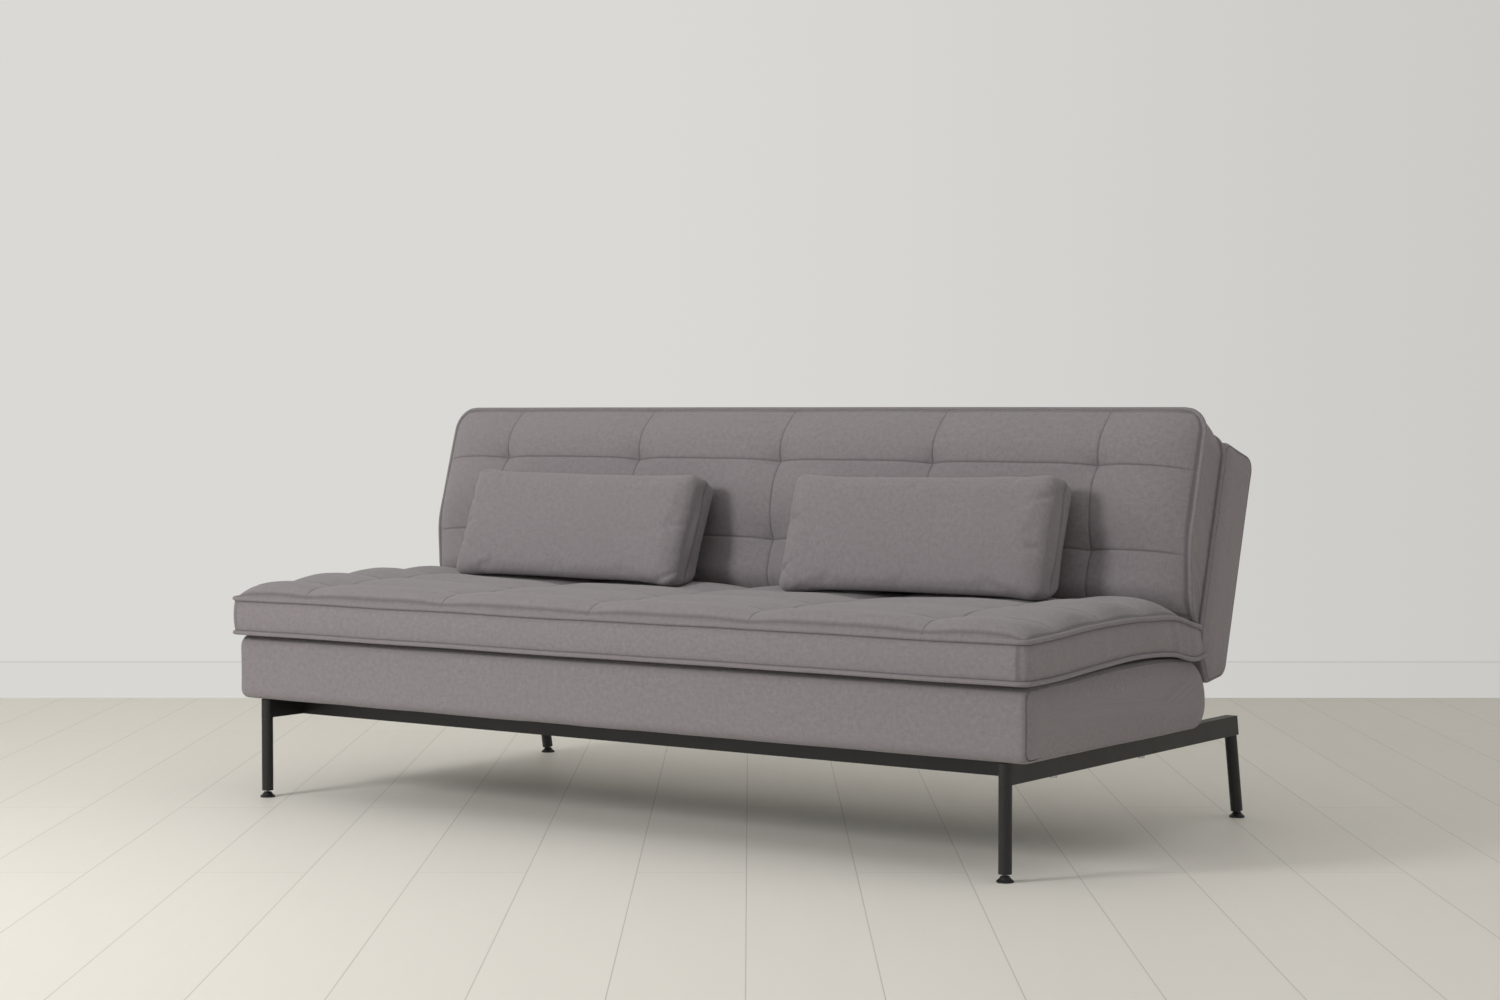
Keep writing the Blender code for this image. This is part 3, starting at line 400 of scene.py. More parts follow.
def mesh_object(name, points, faces, material, attributes=None, smooth=True):
    """A mesh object from points and faces, with number attributes on its points."""
    mesh = bpy.data.meshes.new(name)
    mesh.from_pydata([tuple(p) for p in points], [], faces)
    bm = bmesh.new()
    bm.from_mesh(mesh)
    bmesh.ops.recalc_face_normals(bm, faces=bm.faces)
    bm.to_mesh(mesh)
    bm.free()
    for key, values in (attributes or {}).items():
        store(mesh, key, values)
    if smooth:
        mesh.shade_smooth()
    mesh.materials.append(material)
    obj = bpy.data.objects.new(name, mesh)
    bpy.context.scene.collection.objects.link(obj)
    return obj


def strip_faces(rows, columns, closed_columns=False):
    """Quads of a grid of points numbered row by row; columns may join up."""
    faces = []
    last = columns if closed_columns else columns - 1
    for i in range(rows - 1):
        for j in range(last):
            k = (j + 1) % columns
            faces.append((
                i * columns + j, i * columns + k, (i + 1) * columns + k, (i + 1) * columns + j,
            ))
    return faces


def tube(name, path, radius, material, closed=False, sides=12, flatten=1.0):
    """A round bar along a path, with domed ends where the path is open."""
    path = np.asarray(path, float)
    count = len(path)
    if closed:
        ahead = np.roll(path, -1, 0) - np.roll(path, 1, 0)
    else:
        ahead = np.gradient(path, axis=0)
    ahead /= np.linalg.norm(ahead, axis=1)[:, None]
    side = np.cross(ahead[0], (0.31, 0.17, 0.93))
    points, runs = [], np.zeros(count)
    runs[1:] = np.cumsum(np.linalg.norm(np.diff(path, axis=0), axis=1))
    angles = np.arange(sides) * 2 * math.pi / sides
    rings = []
    for i in range(count):
        side = side - ahead[i] * side.dot(ahead[i])
        side /= np.linalg.norm(side)
        other = np.cross(ahead[i], side)
        rings.append((path[i], side, other, 1.0, runs[i]))
    if not closed:
        first, last = rings[0], rings[-1]
        dome = [(math.cos(a), math.sin(a)) for a in (math.pi / 2.2, math.pi / 3.2, math.pi / 6)]
        head = [(first[0] - ahead[0] * radius * s, first[1], first[2], c, first[4])
                for c, s in dome]
        tail = [(last[0] + ahead[-1] * radius * s, last[1], last[2], c, last[4])
                for c, s in reversed(dome)]
        rings = head + rings + tail
    cloth = []
    for centre, side, other, share, run in rings:
        for a in angles:
            offset = side * math.cos(a) + other * math.sin(a) * flatten
            points.append(centre + offset * radius * share)
            cloth.append((run, a * radius, 0.0))
    rows = len(rings) + (1 if closed else 0)
    faces = strip_faces(len(rings), sides, True)
    if closed:
        top = (len(rings) - 1) * sides
        faces += [(top + j, top + (j + 1) % sides, (j + 1) % sides, j) for j in range(sides)]
    else:
        faces += [tuple(range(sides)), tuple(range((rows - 1) * sides, rows * sides))]
    # A faint, even painted shade on the piping, through the crease attribute.
    return mesh_object(
        name, points, faces, material, {"cloth": cloth, "crease": np.full(len(points), 0.06)},
    )


# ------------------------------------------------------------------ mattress
def quilting(x, run, columns, rows, look):
    """Height that the quilting adds over the line of the seams, and how deep in a seam a
    point lies, from 0 to 1."""
    across = np.abs(x[..., None] - np.array(columns)).min(-1)
    along = np.abs(run[..., None] - np.array(rows)).min(-1)
    pillow = look.pillow * (1 - np.exp(-(across / 0.06) ** 2)) * (1 - np.exp(-(along / 0.05) ** 2))
    dimple = look.dimple * np.exp(-(across / 0.048) ** 2 - (along / 0.036) ** 2)
    pit = look.dimple * 0.5 * np.exp(-(across / 0.014) ** 2 - (along / 0.012) ** 2)
    near = np.minimum(across, along)
    shoulder = look.seam * np.exp(-near / 0.009)
    groove = np.exp(-(near / 0.0015) ** 2)
    return pillow - dimple - pit - shoulder - 0.0016 * groove, groove


class Pad:
    """One pad of the mattress, on a grid of x and run, with heights over the hinge axis or
    the floor: a quilted face, a plain underside and the boxing between their edges."""

    def __init__(self, name, half, start, end, corners, columns, rows, place):
        self.name, self.half, self.start, self.end = name, half, start, end
        self.corners = corners  # radius at the start and at the end
        self.fading = 0.03  # how far from a side the seams are drawn at full strength
        self.columns, self.rows, self.place = columns, rows, place
        xs = grid_lines(-half, half, 0.011, columns)
        runs = grid_lines(start, end, 0.010, rows)
        self.x, self.run = np.meshgrid(xs, runs, indexing="ij")
        self.flat_x, self.flat_run = self.x.copy(), self.run.copy()
        self._round_corners()

    def _round_corners(self):
        """Moves the outer columns in where the outline's corners are round."""
        inner = self.half - 0.12
        for edge, radius in ((self.start, self.corners[0]), (self.end, self.corners[1])):
            if radius <= 0:
                continue
            near = np.clip(radius - np.abs(self.run - edge), 0, radius)
            cut = radius - np.sqrt(np.maximum(radius ** 2 - near ** 2, 0))
            share = np.clip((np.abs(self.x) - inner) / (self.half - inner), 0, 1)
            self.x = self.x - np.sign(self.x) * cut * share ** 2

    def rim(self):
        """Grid places round the edge, in order, from one end of the start row."""
        n, m = self.x.shape
        left = [(0, j) for j in range(m)]
        far = [(i, m - 1) for i in range(1, n)]
        right = [(n - 1, j) for j in range(m - 2, -1, -1)]
        near = [(i, 0) for i in range(n - 2, 0, -1)]
        return left + far + right + near

    def build(self, top, bottom, foot_run, bulge, material, look):
        """The mesh from the heights of the face and the underside, which runs to foot_run."""
        groove = quilting(self.flat_x, self.flat_run, self.columns, self.rows, look)[1]
        face = np.stack([self.x, self.run, top], -1)
        share = (self.run - self.start) / (self.end - self.start)
        under_run = foot_run[0] + share * (foot_run[1] - foot_run[0])
        under = np.stack([self.x, under_run, bottom], -1)
        rim = self.rim()
        high = np.array([face[i] for i in rim])
        low = np.array([under[i] for i in rim])
        out = np.roll(high, 1, 0) - np.roll(high, -1, 0)
        out = np.stack([-out[:, 1], out[:, 0], np.zeros(len(rim))], 1)
        out /= np.maximum(np.linalg.norm(out, axis=1), 1e-9)[:, None]
        middle = np.array([0, (self.start + self.end) / 2, 0])
        wrong = ((high - middle) * out)[:, :2].sum(1) < 0
        out[wrong] *= -1
        arc = np.concatenate([[0], np.cumsum(np.linalg.norm(np.diff(high, axis=0), axis=1))])
        n, m = self.x.shape
        joints = [k for k, (i, j) in enumerate(rim) if i in (0, n - 1) and j in (0, m - 1)]
        apart = np.abs(arc[:, None] - arc[joints]).min(1)
        # Painted shade down the boxing's seams at the corners.
        joint = look.seam_shade * np.exp(-(apart / 0.0025) ** 2)
        rings, cloth_rings, dark = [], [], []
        steps = len(BOXING_STEPS) + 1
        for t in BOXING_STEPS:
            ring = low * t + high * (1 - t)
            swell = bulge(high, t) - 0.0012 * joint
            rings.append(ring + out * swell[:, None])
            cloth_rings.append(np.stack([arc, np.full(len(arc), t * 0.09), arc * 0], 1))
            # Painted shade on the boxing close to both pipings.
            edge = min(t, 1 - t)
            welt = look.welt_shade * math.exp(-((edge - 0.07) / 0.03) ** 2)
            dark.append(np.maximum(joint, welt))
        points = [face.reshape(-1, 3)] + rings + [under.reshape(-1, 3)]
        cloth = np.stack([self.flat_x, self.flat_run, self.flat_x * 0], -1).reshape(-1, 3)
        cloths = [cloth] + cloth_rings + [cloth + 3.0]
        faces = strip_faces(n, m)
        base = n * m
        count = len(rim)
        face_rim = [i * m + j for i, j in rim]
        last = base + (steps - 1) * count
        under_rim = [last + i * m + j for i, j in rim]
        loops = [face_rim] + [
            [base + k * count + i for i in range(count)] for k in range(steps - 1)
        ] + [under_rim]
        for upper, lower in zip(loops, loops[1:]):
            for i in range(count):
                j = (i + 1) % count
                faces.append((upper[i], upper[j], lower[j], lower[i]))
        faces += [tuple(last + i for i in quad) for quad in strip_faces(n, m)]
        points = np.concatenate(points)
        inside = np.minimum(self.half - np.abs(self.flat_x), np.minimum(
            self.flat_run - self.start, self.end - self.flat_run,
        ))
        # Painted shade on the face just inside the piping and down the quilting seams, fainter near the sides.
        welt = look.welt_shade * np.exp(-((inside - 0.006) / 0.002) ** 2)
        near_side = smoothstep(0.0, self.fading, self.half - np.abs(self.flat_x))
        groove = groove * (0.25 + 0.75 * near_side)
        crease = np.zeros(len(points))
        crease[:base] = np.maximum(groove * look.seam_shade, welt).ravel()
        crease[base:base + (steps - 1) * count] = np.concatenate(dark)
        obj = mesh_object(
            self.name, self.place(points), faces, material,
            {"cloth": np.concatenate(cloths), "crease": crease},
        )
        self.high, self.low = high, low
        return obj

    def edge_path(self, level, lift=0.0, out=0.0):
        """The open path round the free edges, from the fold to the fold."""
        n, m = self.x.shape
        ring = self.high if level == "face" else self.low
        rim = self.rim()
        if self.name.startswith("seat"):  # the fold is at the last run
            order = [k for k, (i, j) in enumerate(rim) if i == 0][::-1]
            order += [k for k, (i, j) in enumerate(rim) if j == 0 and 0 < i < n - 1][::-1]
            order += [k for k, (i, j) in enumerate(rim) if i == n - 1][::-1]
        else:
            order = [k for k, (i, j) in enumerate(rim) if i == 0]
            order += [k for k, (i, j) in enumerate(rim) if j == m - 1 and 0 < i < n - 1]
            order += [k for k, (i, j) in enumerate(rim) if i == n - 1]
        path = ring[order].copy()
        middle = np.array([0, (self.start + self.end) / 2])
        away = path[:, :2] - middle
        away /= np.linalg.norm(away, axis=1)[:, None]
        path[:, 2] += lift
        path[:, :2] += np.sign(away) * np.minimum(1, np.abs(away) * 3) * out
        return spaced(path, 0.006)


def spaced(path, step):
    """A path walked again with even steps."""
    runs = np.concatenate([[0], np.cumsum(np.linalg.norm(np.diff(path, axis=0), axis=1))])
    marks = np.linspace(0, runs[-1], max(2, int(runs[-1] / step)))
    return np.stack([np.interp(marks, runs, path[:, k]) for k in range(3)], 1)


def seat_columns(look):
    return [look.column * k for k in (-2, -1, 0, 1, 2)]


def seat_mattress(look, material):
    """The seat pad: its ends lift a little off the box and drop again towards the fold."""
    half = SEAT_PAD[1].x - look.piping
    start = SEAT_PAD[0].y + look.piping
    mouth = fold_place(FOLD_MOUTH)
    end = mouth[0] - FOLD_CLOTH / 2
    rows = [start + look.first_row + look.row * k for k in range(4)]
    pad = Pad("seat_mattress", half, start, end, (0.018, 0.0), seat_columns(look), rows, as_is)
    pad.fading = 0.24
    base = SEAT_BOX[1].z + 0.0062
    ends = smoothstep(0.45, 0.98, np.abs(pad.x))
    reach = pad.run - start
    span = end - start
    side = curve_through([
        (0, 0.0), (0.10, 0.004), (0.24, 0.012), (0.47, 0.013), (0.60, 0.004),
        (0.655, -0.010), (span, -0.016),
    ])
    under = curve_through([
        (0, 0.0), (0.10, 0.002), (0.25, 0.011), (0.42, 0.018), (0.55, 0.012),
        (0.66, -0.003), (span, 0.002),
    ])
    edge = base + 0.0745 + side(reach) * ends
    fold_side = 1 - smoothstep(0.0, 0.09, end - pad.run)
    edge = edge - fold_side * (1 - ends) * 0.010
    inside = pad.half - np.abs(pad.flat_x)
    crown = look.crown * (1 - np.exp(-inside / 0.030)) * (1 - np.exp(-reach / 0.016))
    crown *= 1 - np.exp(-(end - pad.run) / 0.030)
    lift = quilting(pad.flat_x, pad.flat_run, pad.columns, pad.rows, look)[0]
    fade = (1 - np.exp(-inside / 0.022)) * (1 - np.exp(-reach / 0.014))
    fade *= 1 - np.exp(-(end - pad.run) / 0.03)
    grid = np.stack([pad.x, pad.run, pad.x * 0], -1)
    loose = 0.0016 * ripple(grid, 9.0) + 0.0007 * ripple(grid, 28.0, 4.0)
    wander = 0.0016 * ripple(np.stack([pad.x, pad.run * 0, pad.x * 0], -1), 4.5, 9.0)
    top = edge + wander + crown + lift * fade + loose * fade
    bottom = base + under(reach) * ends + wander * 0.6

    def bulge(high, t):
        x, run = high[:, 0], high[:, 1]
        swell = 0.0045 * 4 * t * (1 - t)
        at_side = smoothstep(half - 0.02, half - 0.004, np.abs(x))
        close = smoothstep(0.30, 0.66, run - start)
        along = np.stack([run, x * 0.2, run * 0], -1)
        folds = ripple(along, 26.0, 2.0) * 0.0024 + ripple(along, 60.0, 5.0) * 0.0022 * close
        return swell + at_side * folds * 4 * t * (1 - t) * (0.6 + 1.6 * close)

    foot = fold_place(FOLD_FOOT)
    obj = pad.build(top, bottom, (start, foot[0] - FOLD_CLOTH / 2), bulge, material, look)
    return pad, obj


def back_mattress(look, material):
    """The back pad, lying flat: it swells from the fold up to a full crown near its top."""
    half = BACK_PAD[1].x - look.piping
    start_face = fold_place(FOLD_MOUTH, turned=True)
    start = start_face[0] + FOLD_CLOTH / 2
    end = BACK_PAD_END - look.piping
    rows = [end + look.piping - look.back_first_row - look.row * k for k in range(3)]
    pad = Pad("back_mattress", half, start, end, (0.0, 0.050), seat_columns(look), rows, upright)
    base = BOX_HALF + 0.0025
    side = curve_through([
        (start, 0.098), (0.145, 0.119), (0.20, 0.143), (0.26, 0.162), (0.34, 0.165),
        (0.45, 0.166), (end, 0.166),
    ])
    middle = curve_through([
        (start, 0.146), (0.145, 0.174), (0.20, 0.191), (0.25, 0.203), (0.32, 0.215),
        (0.38, 0.221), (0.435, 0.220), (0.475, 0.209), (0.515, 0.187), (0.530, 0.176),
        (end, 0.166),
    ])
    inside = pad.half - np.abs(pad.flat_x)
    swell = 1 - np.exp(-inside / 0.050)
    top = side(pad.run) + (middle(pad.run) - side(pad.run)) * swell
    lift = quilting(pad.flat_x, pad.flat_run, pad.columns, pad.rows, look)[0]
    fade = (1 - np.exp(-inside / 0.03)) * (1 - np.exp(-(end - pad.run) / 0.03))
    grid = np.stack([pad.x, pad.run, pad.x * 0], -1)
    loose = 0.0018 * ripple(grid, 8.0, 3.0) + 0.0007 * ripple(grid, 26.0, 7.0)
    wander = 0.0016 * ripple(np.stack([pad.x, pad.run * 0, pad.x * 0], -1), 4.5, 2.0)
    top = top + lift * fade + loose * fade + wander
    foot = fold_place(FOLD_FOOT, turned=True)
    bottom = base + 0 * pad.run

    def bulge(high, t):
        x, run = high[:, 0], high[:, 1]
        at_side = smoothstep(half - 0.02, half - 0.004, np.abs(x))
        close = 1 - smoothstep(0.14, 0.40, run)
        along = np.stack([run + 0.08 * t, x * 0.2, run * 0], -1)
        folds = ripple(along, 24.0, 12.0) * 0.0022 + ripple(along, 55.0, 15.0) * 0.0026 * close
        rounded = 4 * t * (1 - t)
        return rounded * (0.004 - 0.008 * at_side + at_side * folds * (0.6 + 1.6 * close))

    obj = pad.build(
        top, bottom, (foot[0] + FOLD_CLOTH / 2, BACK_PAD_FOOT - look.piping), bulge, material,
        look,
    )
    return pad, obj


def fold_place(along, turned=False):
    """(y, z) in the room, or (run, height) with the back lying flat, on the fold line."""
    normal = Vector((math.sin(FOLD_SLOPE), math.cos(FOLD_SLOPE)))
    line = Vector((-math.cos(FOLD_SLOPE), math.sin(FOLD_SLOPE)))
    point = normal * FOLD_OFFSET + line * along
    if turned:
        return Matrix.Rotation(-SITTING, 2) @ point
    return Vector((HINGE.y, HINGE.z)) + point


def fold_cloth(look, material):
    """The mattress's core at the fold, pressed flat between the pads. It fans out round the
    hinge axis as the back goes down, so its layers are spaced for an even fan."""
    layers, rises = 25, 9
    half = BACK_PAD[1].x - look.piping
    xs = grid_lines(-half, half, 0.03, [])
    normal = Vector((math.sin(FOLD_SLOPE), math.cos(FOLD_SLOPE)))
    loops = []
    for k in range(layers):
        share = k / (layers - 1)
        t = 0.5 - math.sin(math.asin(1 - 2 * share) / 3)
        shift = (t - 0.5) * FOLD_CLOTH
        hump = 0.010 * math.sin(math.pi * share)
        outer = FOLD_MOUTH - 0.004 + hump
        inner = FOLD_FOOT - 0.030
        loops.append([
            fold_place(inner + (outer - inner) * r / (rises - 1)) + normal * shift
            for r in range(rises)
        ])
    section = np.array([[(p[0], p[1]) for p in loop] for loop in loops])
    rim = [(0, r) for r in range(rises)] + [(k, rises - 1) for k in range(1, layers)]
    rim += [(layers - 1, r) for r in range(rises - 2, -1, -1)]
    rim += [(k, 0) for k in range(layers - 2, 0, -1)]
    ring = np.array([section[k] for k in rim])
    count = len(ring)
    points, cloth = [], []
    for x in xs:
        for i, (y, z) in enumerate(ring):
            points.append((x, y, z))
            cloth.append((x, i * 0.004, 0.0))
    faces = strip_faces(len(xs), count, True)
    for x, base in ((xs[0], None), (xs[-1], None)):
        start = len(points)
        index = {}
        column = 0 if x == xs[0] else (len(xs) - 1) * count
        for place, spot in enumerate(rim):
            index[spot] = column + place
        for k in range(1, layers - 1):
            for r in range(1, rises - 1):
                index[(k, r)] = len(points)
                points.append((x, *section[k][r]))
                cloth.append((0.01 * k, 0.01 * r, 0.0))
        for k in range(layers - 1):
            for r in range(rises - 1):
                faces.append((index[k, r], index[k + 1, r], index[k + 1, r + 1], index[k, r + 1]))
    # Painted shade over the whole core, which lies deep in the fold between the pads.
    obj = mesh_object(
        "fold_core", points, faces, material,
        {"cloth": cloth, "crease": np.full(len(points), 0.15)},
    )
    middle = fold_place((FOLD_MOUTH + FOLD_FOOT) / 2)
    low, high = middle - normal * FOLD_CLOTH / 2, middle + normal * FOLD_CLOTH / 2
    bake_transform(obj)
    return obj


# ------------------------------------------------------------------ boxes
def rounded_outline(corners, step):
    """A closed outline from (y, z, radius) corners, with arcs and even steps."""
    points = []
    count = len(corners)
    for i, (y, z, radius) in enumerate(corners):
        here = Vector((y, z))
        back = (Vector(corners[i - 1][:2]) - here).normalized()
        ahead = (Vector(corners[(i + 1) % count][:2]) - here).normalized()
        half = math.acos(max(-1.0, min(1.0, back.dot(ahead)))) / 2
        centre = here + (back + ahead).normalized() * (radius / math.sin(half))
        first = here + back * (radius / math.tan(half)) - centre
        last = here + ahead * (radius / math.tan(half)) - centre
        start = math.atan2(first.y, first.x)
        sweep = (math.atan2(last.y, last.x) - start + math.pi) % (2 * math.pi) - math.pi
        turns = max(4, int(abs(sweep) * radius / step))
        for k in range(turns + 1):
            a = start + sweep * k / turns
            points.append((centre.x + radius * math.cos(a), centre.y + radius * math.sin(a)))
    loop = np.array(points + [points[0]])
    runs = np.concatenate([[0], np.cumsum(np.linalg.norm(np.diff(loop, axis=0), axis=1))])
    marks = np.linspace(0, runs[-1], int(runs[-1] / step) + 1)[:-1]
    return np.stack([np.interp(marks, runs, loop[:, k]) for k in range(2)], 1), marks


def upholstered_box(name, corners, spine, half, look, material, place, crown, sewn):
    """Cloth pulled over a box: one wrap round its outline and a side panel sewn in at each
    end. spine is the inner line (two ends) that the side panels shrink towards. crown lifts
    the top near the ends, and sewn says where round the outline the seam is drawn in and
    gets its painted shade."""
    outline, marks = rounded_outline(corners, 0.006)
    rise = crown(outline)
    drawn = sewn(outline)
    (y0, y1), z_mid = spine
    target = np.stack([np.clip(outline[:, 0], y0, y1), np.full(len(outline), z_mid)], 1)
    inward = target - outline
    reach = np.linalg.norm(inward, axis=1)
    inward /= reach[:, None]
    soft = look.box_edge
    rings = []  # x, inset, crease and pinch of each ring, from the middle to a side
    xs = np.linspace(0, half - soft, 60)
    rings += [(x, 0.0, 0.0, 0.0) for x in xs]
    for a in (0.16, 0.32, 0.48, 0.62, 0.74):
        angle = a * math.pi / 2
        rings.append((half - soft + soft * math.sin(angle), soft * (1 - math.cos(angle)), 0, 0))
    lip = soft * (1 - math.cos(0.82 * math.pi / 2))
    edge = half - soft + soft * math.sin(0.82 * math.pi / 2)
    # The crease value of these rings is painted shade along the seam of each side panel.
    rings += [
        (edge, lip, 0.7, 0.0003), (edge, lip + 0.0014, 1.6, 0.0028),
        (edge + 0.0003, lip + 0.0030, 0.7, 0.0003), (edge + 0.0007, lip + 0.0050, 0.0, 0.0),
    ]
    for share, inset in ((0.35, 0.010), (0.65, 0.018), (0.88, 0.028), (1.0, 0.040)):
        rings.append((edge + share * look.box_swell, lip + inset, 0.0, 0.0))
    sides = {}
    points, cloth, crease = [], [], []
    for sign in (-1, 1):
        rows = []
        for x, inset, dark, pinch in rings[1 if sign > 0 else 0:]:
            move = np.minimum(inset, reach * 0.9)[:, None]
            ring = outline + inward * move
            ring[:, 1] += rise * smoothstep(half - 0.45, half - 0.04, x)
            depth = sign * (x - pinch * drawn)
            spots = np.stack([depth, ring[:, 0], ring[:, 1]], 1)
            wave = 0.0009 * ripple(spots, 7.0, 1.0) + 0.0004 * ripple(spots, 25.0, 6.0)
            if inset < lip:
                spots[:, 1:] -= inward * (wave[:, None] - 0.0013)
            else:
                spots[:, 0] += sign * wave * min(1.0, (inset - lip) / 0.01)
            rows.append(len(points))
            points += list(spots)
            across = sign * (x + (inset if inset >= lip else 0.0))
            cloth += [(across, m, 0.0) for m in marks]
            # Painted shade along the side panel's seam.
            crease += list(dark * look.seam_shade * drawn)
        sides[sign] = rows
    count = len(outline)
    order = sides[-1][::-1] + sides[1]
    faces = []
    for a, b in zip(order, order[1:]):
        for j in range(count):
            k = (j + 1) % count
            faces.append((a + j, a + k, b + k, b + j))
    for cap in (order[0], order[-1]):
        faces.append(tuple(cap + j for j in range(count)))
    return mesh_object(
        name, place(np.array(points)), faces, material, {"cloth": cloth, "crease": crease},
    )


def seat_box_cloth(look, material):
    low, high = SEAT_BOX
    corners = [
        (low.y, high.z, 0.025), (low.y, low.z, 0.020), (high.y, low.z, 0.048),
        (high.y, high.z, BOX_HALF + 0.015),
    ]
    spine = ((low.y + BOX_HALF, high.y - BOX_HALF), (low.z + high.z) / 2)
    swell = curve_through([(low.y, 0), (-0.36, 0.002), (-0.10, 0.012), (0.08, 0.010), (0.2, 0)])

    def crown(outline):
        top = smoothstep(high.z - 0.05, high.z - 0.01, outline[:, 1])
        return top * swell(outline[:, 0])

    def sewn(outline):
        front = 1 - smoothstep(low.y + 0.02, low.y + 0.07, outline[:, 0])
        return front * (1 - smoothstep(high.z - 0.012, high.z, outline[:, 1]) * 0.5)

    return upholstered_box(
        "seat_box_cloth", corners, spine, high.x, look, material, as_is, crown, sewn,
    )


def back_box_cloth(look, material):
    corners = [
        (0.085, BOX_HALF, 0.120), (0.012, 0.008, 0.020), (0.048, -BOX_HALF, 0.030),
        (BACK_END, -BOX_HALF, 0.030), (BACK_END, BOX_HALF, 0.020),
    ]
    spine = ((0.085, BACK_END - BOX_HALF), 0.0)
    return upholstered_box(
        "back_box_cloth", corners, spine, BACK_BOX[1].x, look, material, upright,
        lambda outline: np.zeros(len(outline)), lambda outline: np.full(len(outline), 0.5),
    )


# ------------------------------------------------------------------ cushions
def inflate(obj, pressure, frames, cap, look):
    """Blows a closed cloth bag up for some frames, and keeps each point's travel under cap."""
    rest = np.array([v.co for v in obj.data.vertices])
    cloth = obj.modifiers.new("Filling", "CLOTH")
    settings = cloth.settings
    settings.quality = 6
    settings.mass = 0.25
    settings.tension_stiffness = settings.compression_stiffness = look.stiffness
    settings.shear_stiffness = look.stiffness / 3
    settings.bending_stiffness = 0.4
    settings.use_pressure = True
    settings.uniform_pressure_force = pressure
    settings.effector_weights.gravity = 0.0
    scene = bpy.context.scene
    scene.frame_start, scene.frame_end = 1, frames
    cloth.point_cache.frame_start, cloth.point_cache.frame_end = 1, frames
    for step in range(1, frames + 1):
        scene.frame_set(step)
    shape = obj.evaluated_get(bpy.context.evaluated_depsgraph_get()).data
    moved = np.array([v.co for v in shape.vertices])
    obj.modifiers.remove(cloth)
    travel = moved - rest
    length = np.linalg.norm(travel, axis=1)
    travel *= (cap / np.maximum(length, cap))[:, None]
    obj.data.vertices.foreach_set("co", (rest + travel).ravel())
    scene.frame_set(1)


def filled_cushion(look):
    """Points and faces of a lumbar cushion round its middle: two panels sewn round their
    edges, thinner at the seam, over a filling that rounds them."""
    width, height, depth = look.width, look.height, look.depth
    bm = bmesh.new()
    bmesh.ops.create_cube(bm, size=1.0)
    bmesh.ops.scale(bm, vec=(width, depth, height), verts=bm.verts)
    bmesh.ops.bevel(
        bm, geom=bm.edges[:], offset=0.027, segments=6, profile=0.5, affect="EDGES",
    )
    mesh = bpy.data.meshes.new("filling")
    bm.to_mesh(mesh)
    bm.free()
    obj = bpy.data.objects.new("filling", mesh)
    bpy.context.scene.collection.objects.link(obj)
    remesh = obj.modifiers.new("Even", "REMESH")
    remesh.mode = "VOXEL"
    remesh.voxel_size = 0.006
    bake_modifiers(obj)
    co = np.array([v.co for v in obj.data.vertices])
    across, up = np.abs(2 * co[:, 0] / width), np.abs(2 * co[:, 2] / height)
    ear = smoothstep(0.72, 1.0, across) * smoothstep(0.35, 1.0, up)
    full = np.clip((1 - across ** 4) * (1 - up ** 2), 0, 1)
    co[:, 1] *= 1 - look.pinch * ear + look.belly * full
    co[:, 0] *= 1 - look.hollow * (1 - up ** 2) * across ** 2
    co[:, 2] *= 1 - 2 * look.hollow * (1 - across ** 2) * up ** 2
    obj.data.vertices.foreach_set("co", co.ravel())
    inflate(obj, look.pressure, 20, look.travel, look)
    smooth = obj.modifiers.new("Smooth", "SUBSURF")
    smooth.levels = smooth.render_levels = 1
    bake_modifiers(obj)
    return obj


def press(points, support, into, gap):
    """Moves the points that lie in or behind a support back to just over its surface."""
    mesh = support.data
    tree = BVHTree.FromPolygons(
        [v.co for v in mesh.vertices], [p.vertices[:] for p in mesh.polygons],
    )
    far = 0.4
    for k, point in enumerate(points):
        here = Vector(point)
        hit, _, _, run = tree.ray_cast(here - into * far, into)
        if hit is not None and run < far + gap:
            points[k] = hit - into * gap


def cushion_creases(co, look, seed):
    """Soft creases that run in from the ends of a cushion and die out."""
    fall = np.zeros(len(co))
    for k, (height, slope, length, depth) in enumerate(look.creases()):
        for sign in (-1, 1):
            inward = look.width / 2 - sign * co[:, 0]
            line = height * (1 if (k + seed) % 2 else -1) * sign + slope * sign * inward
            width = 0.006 + 0.05 * np.clip(inward, 0, 0.2)
            fall += depth * np.exp(-((co[:, 2] - line) / width) ** 2 - (inward / length) ** 2)
    return fall


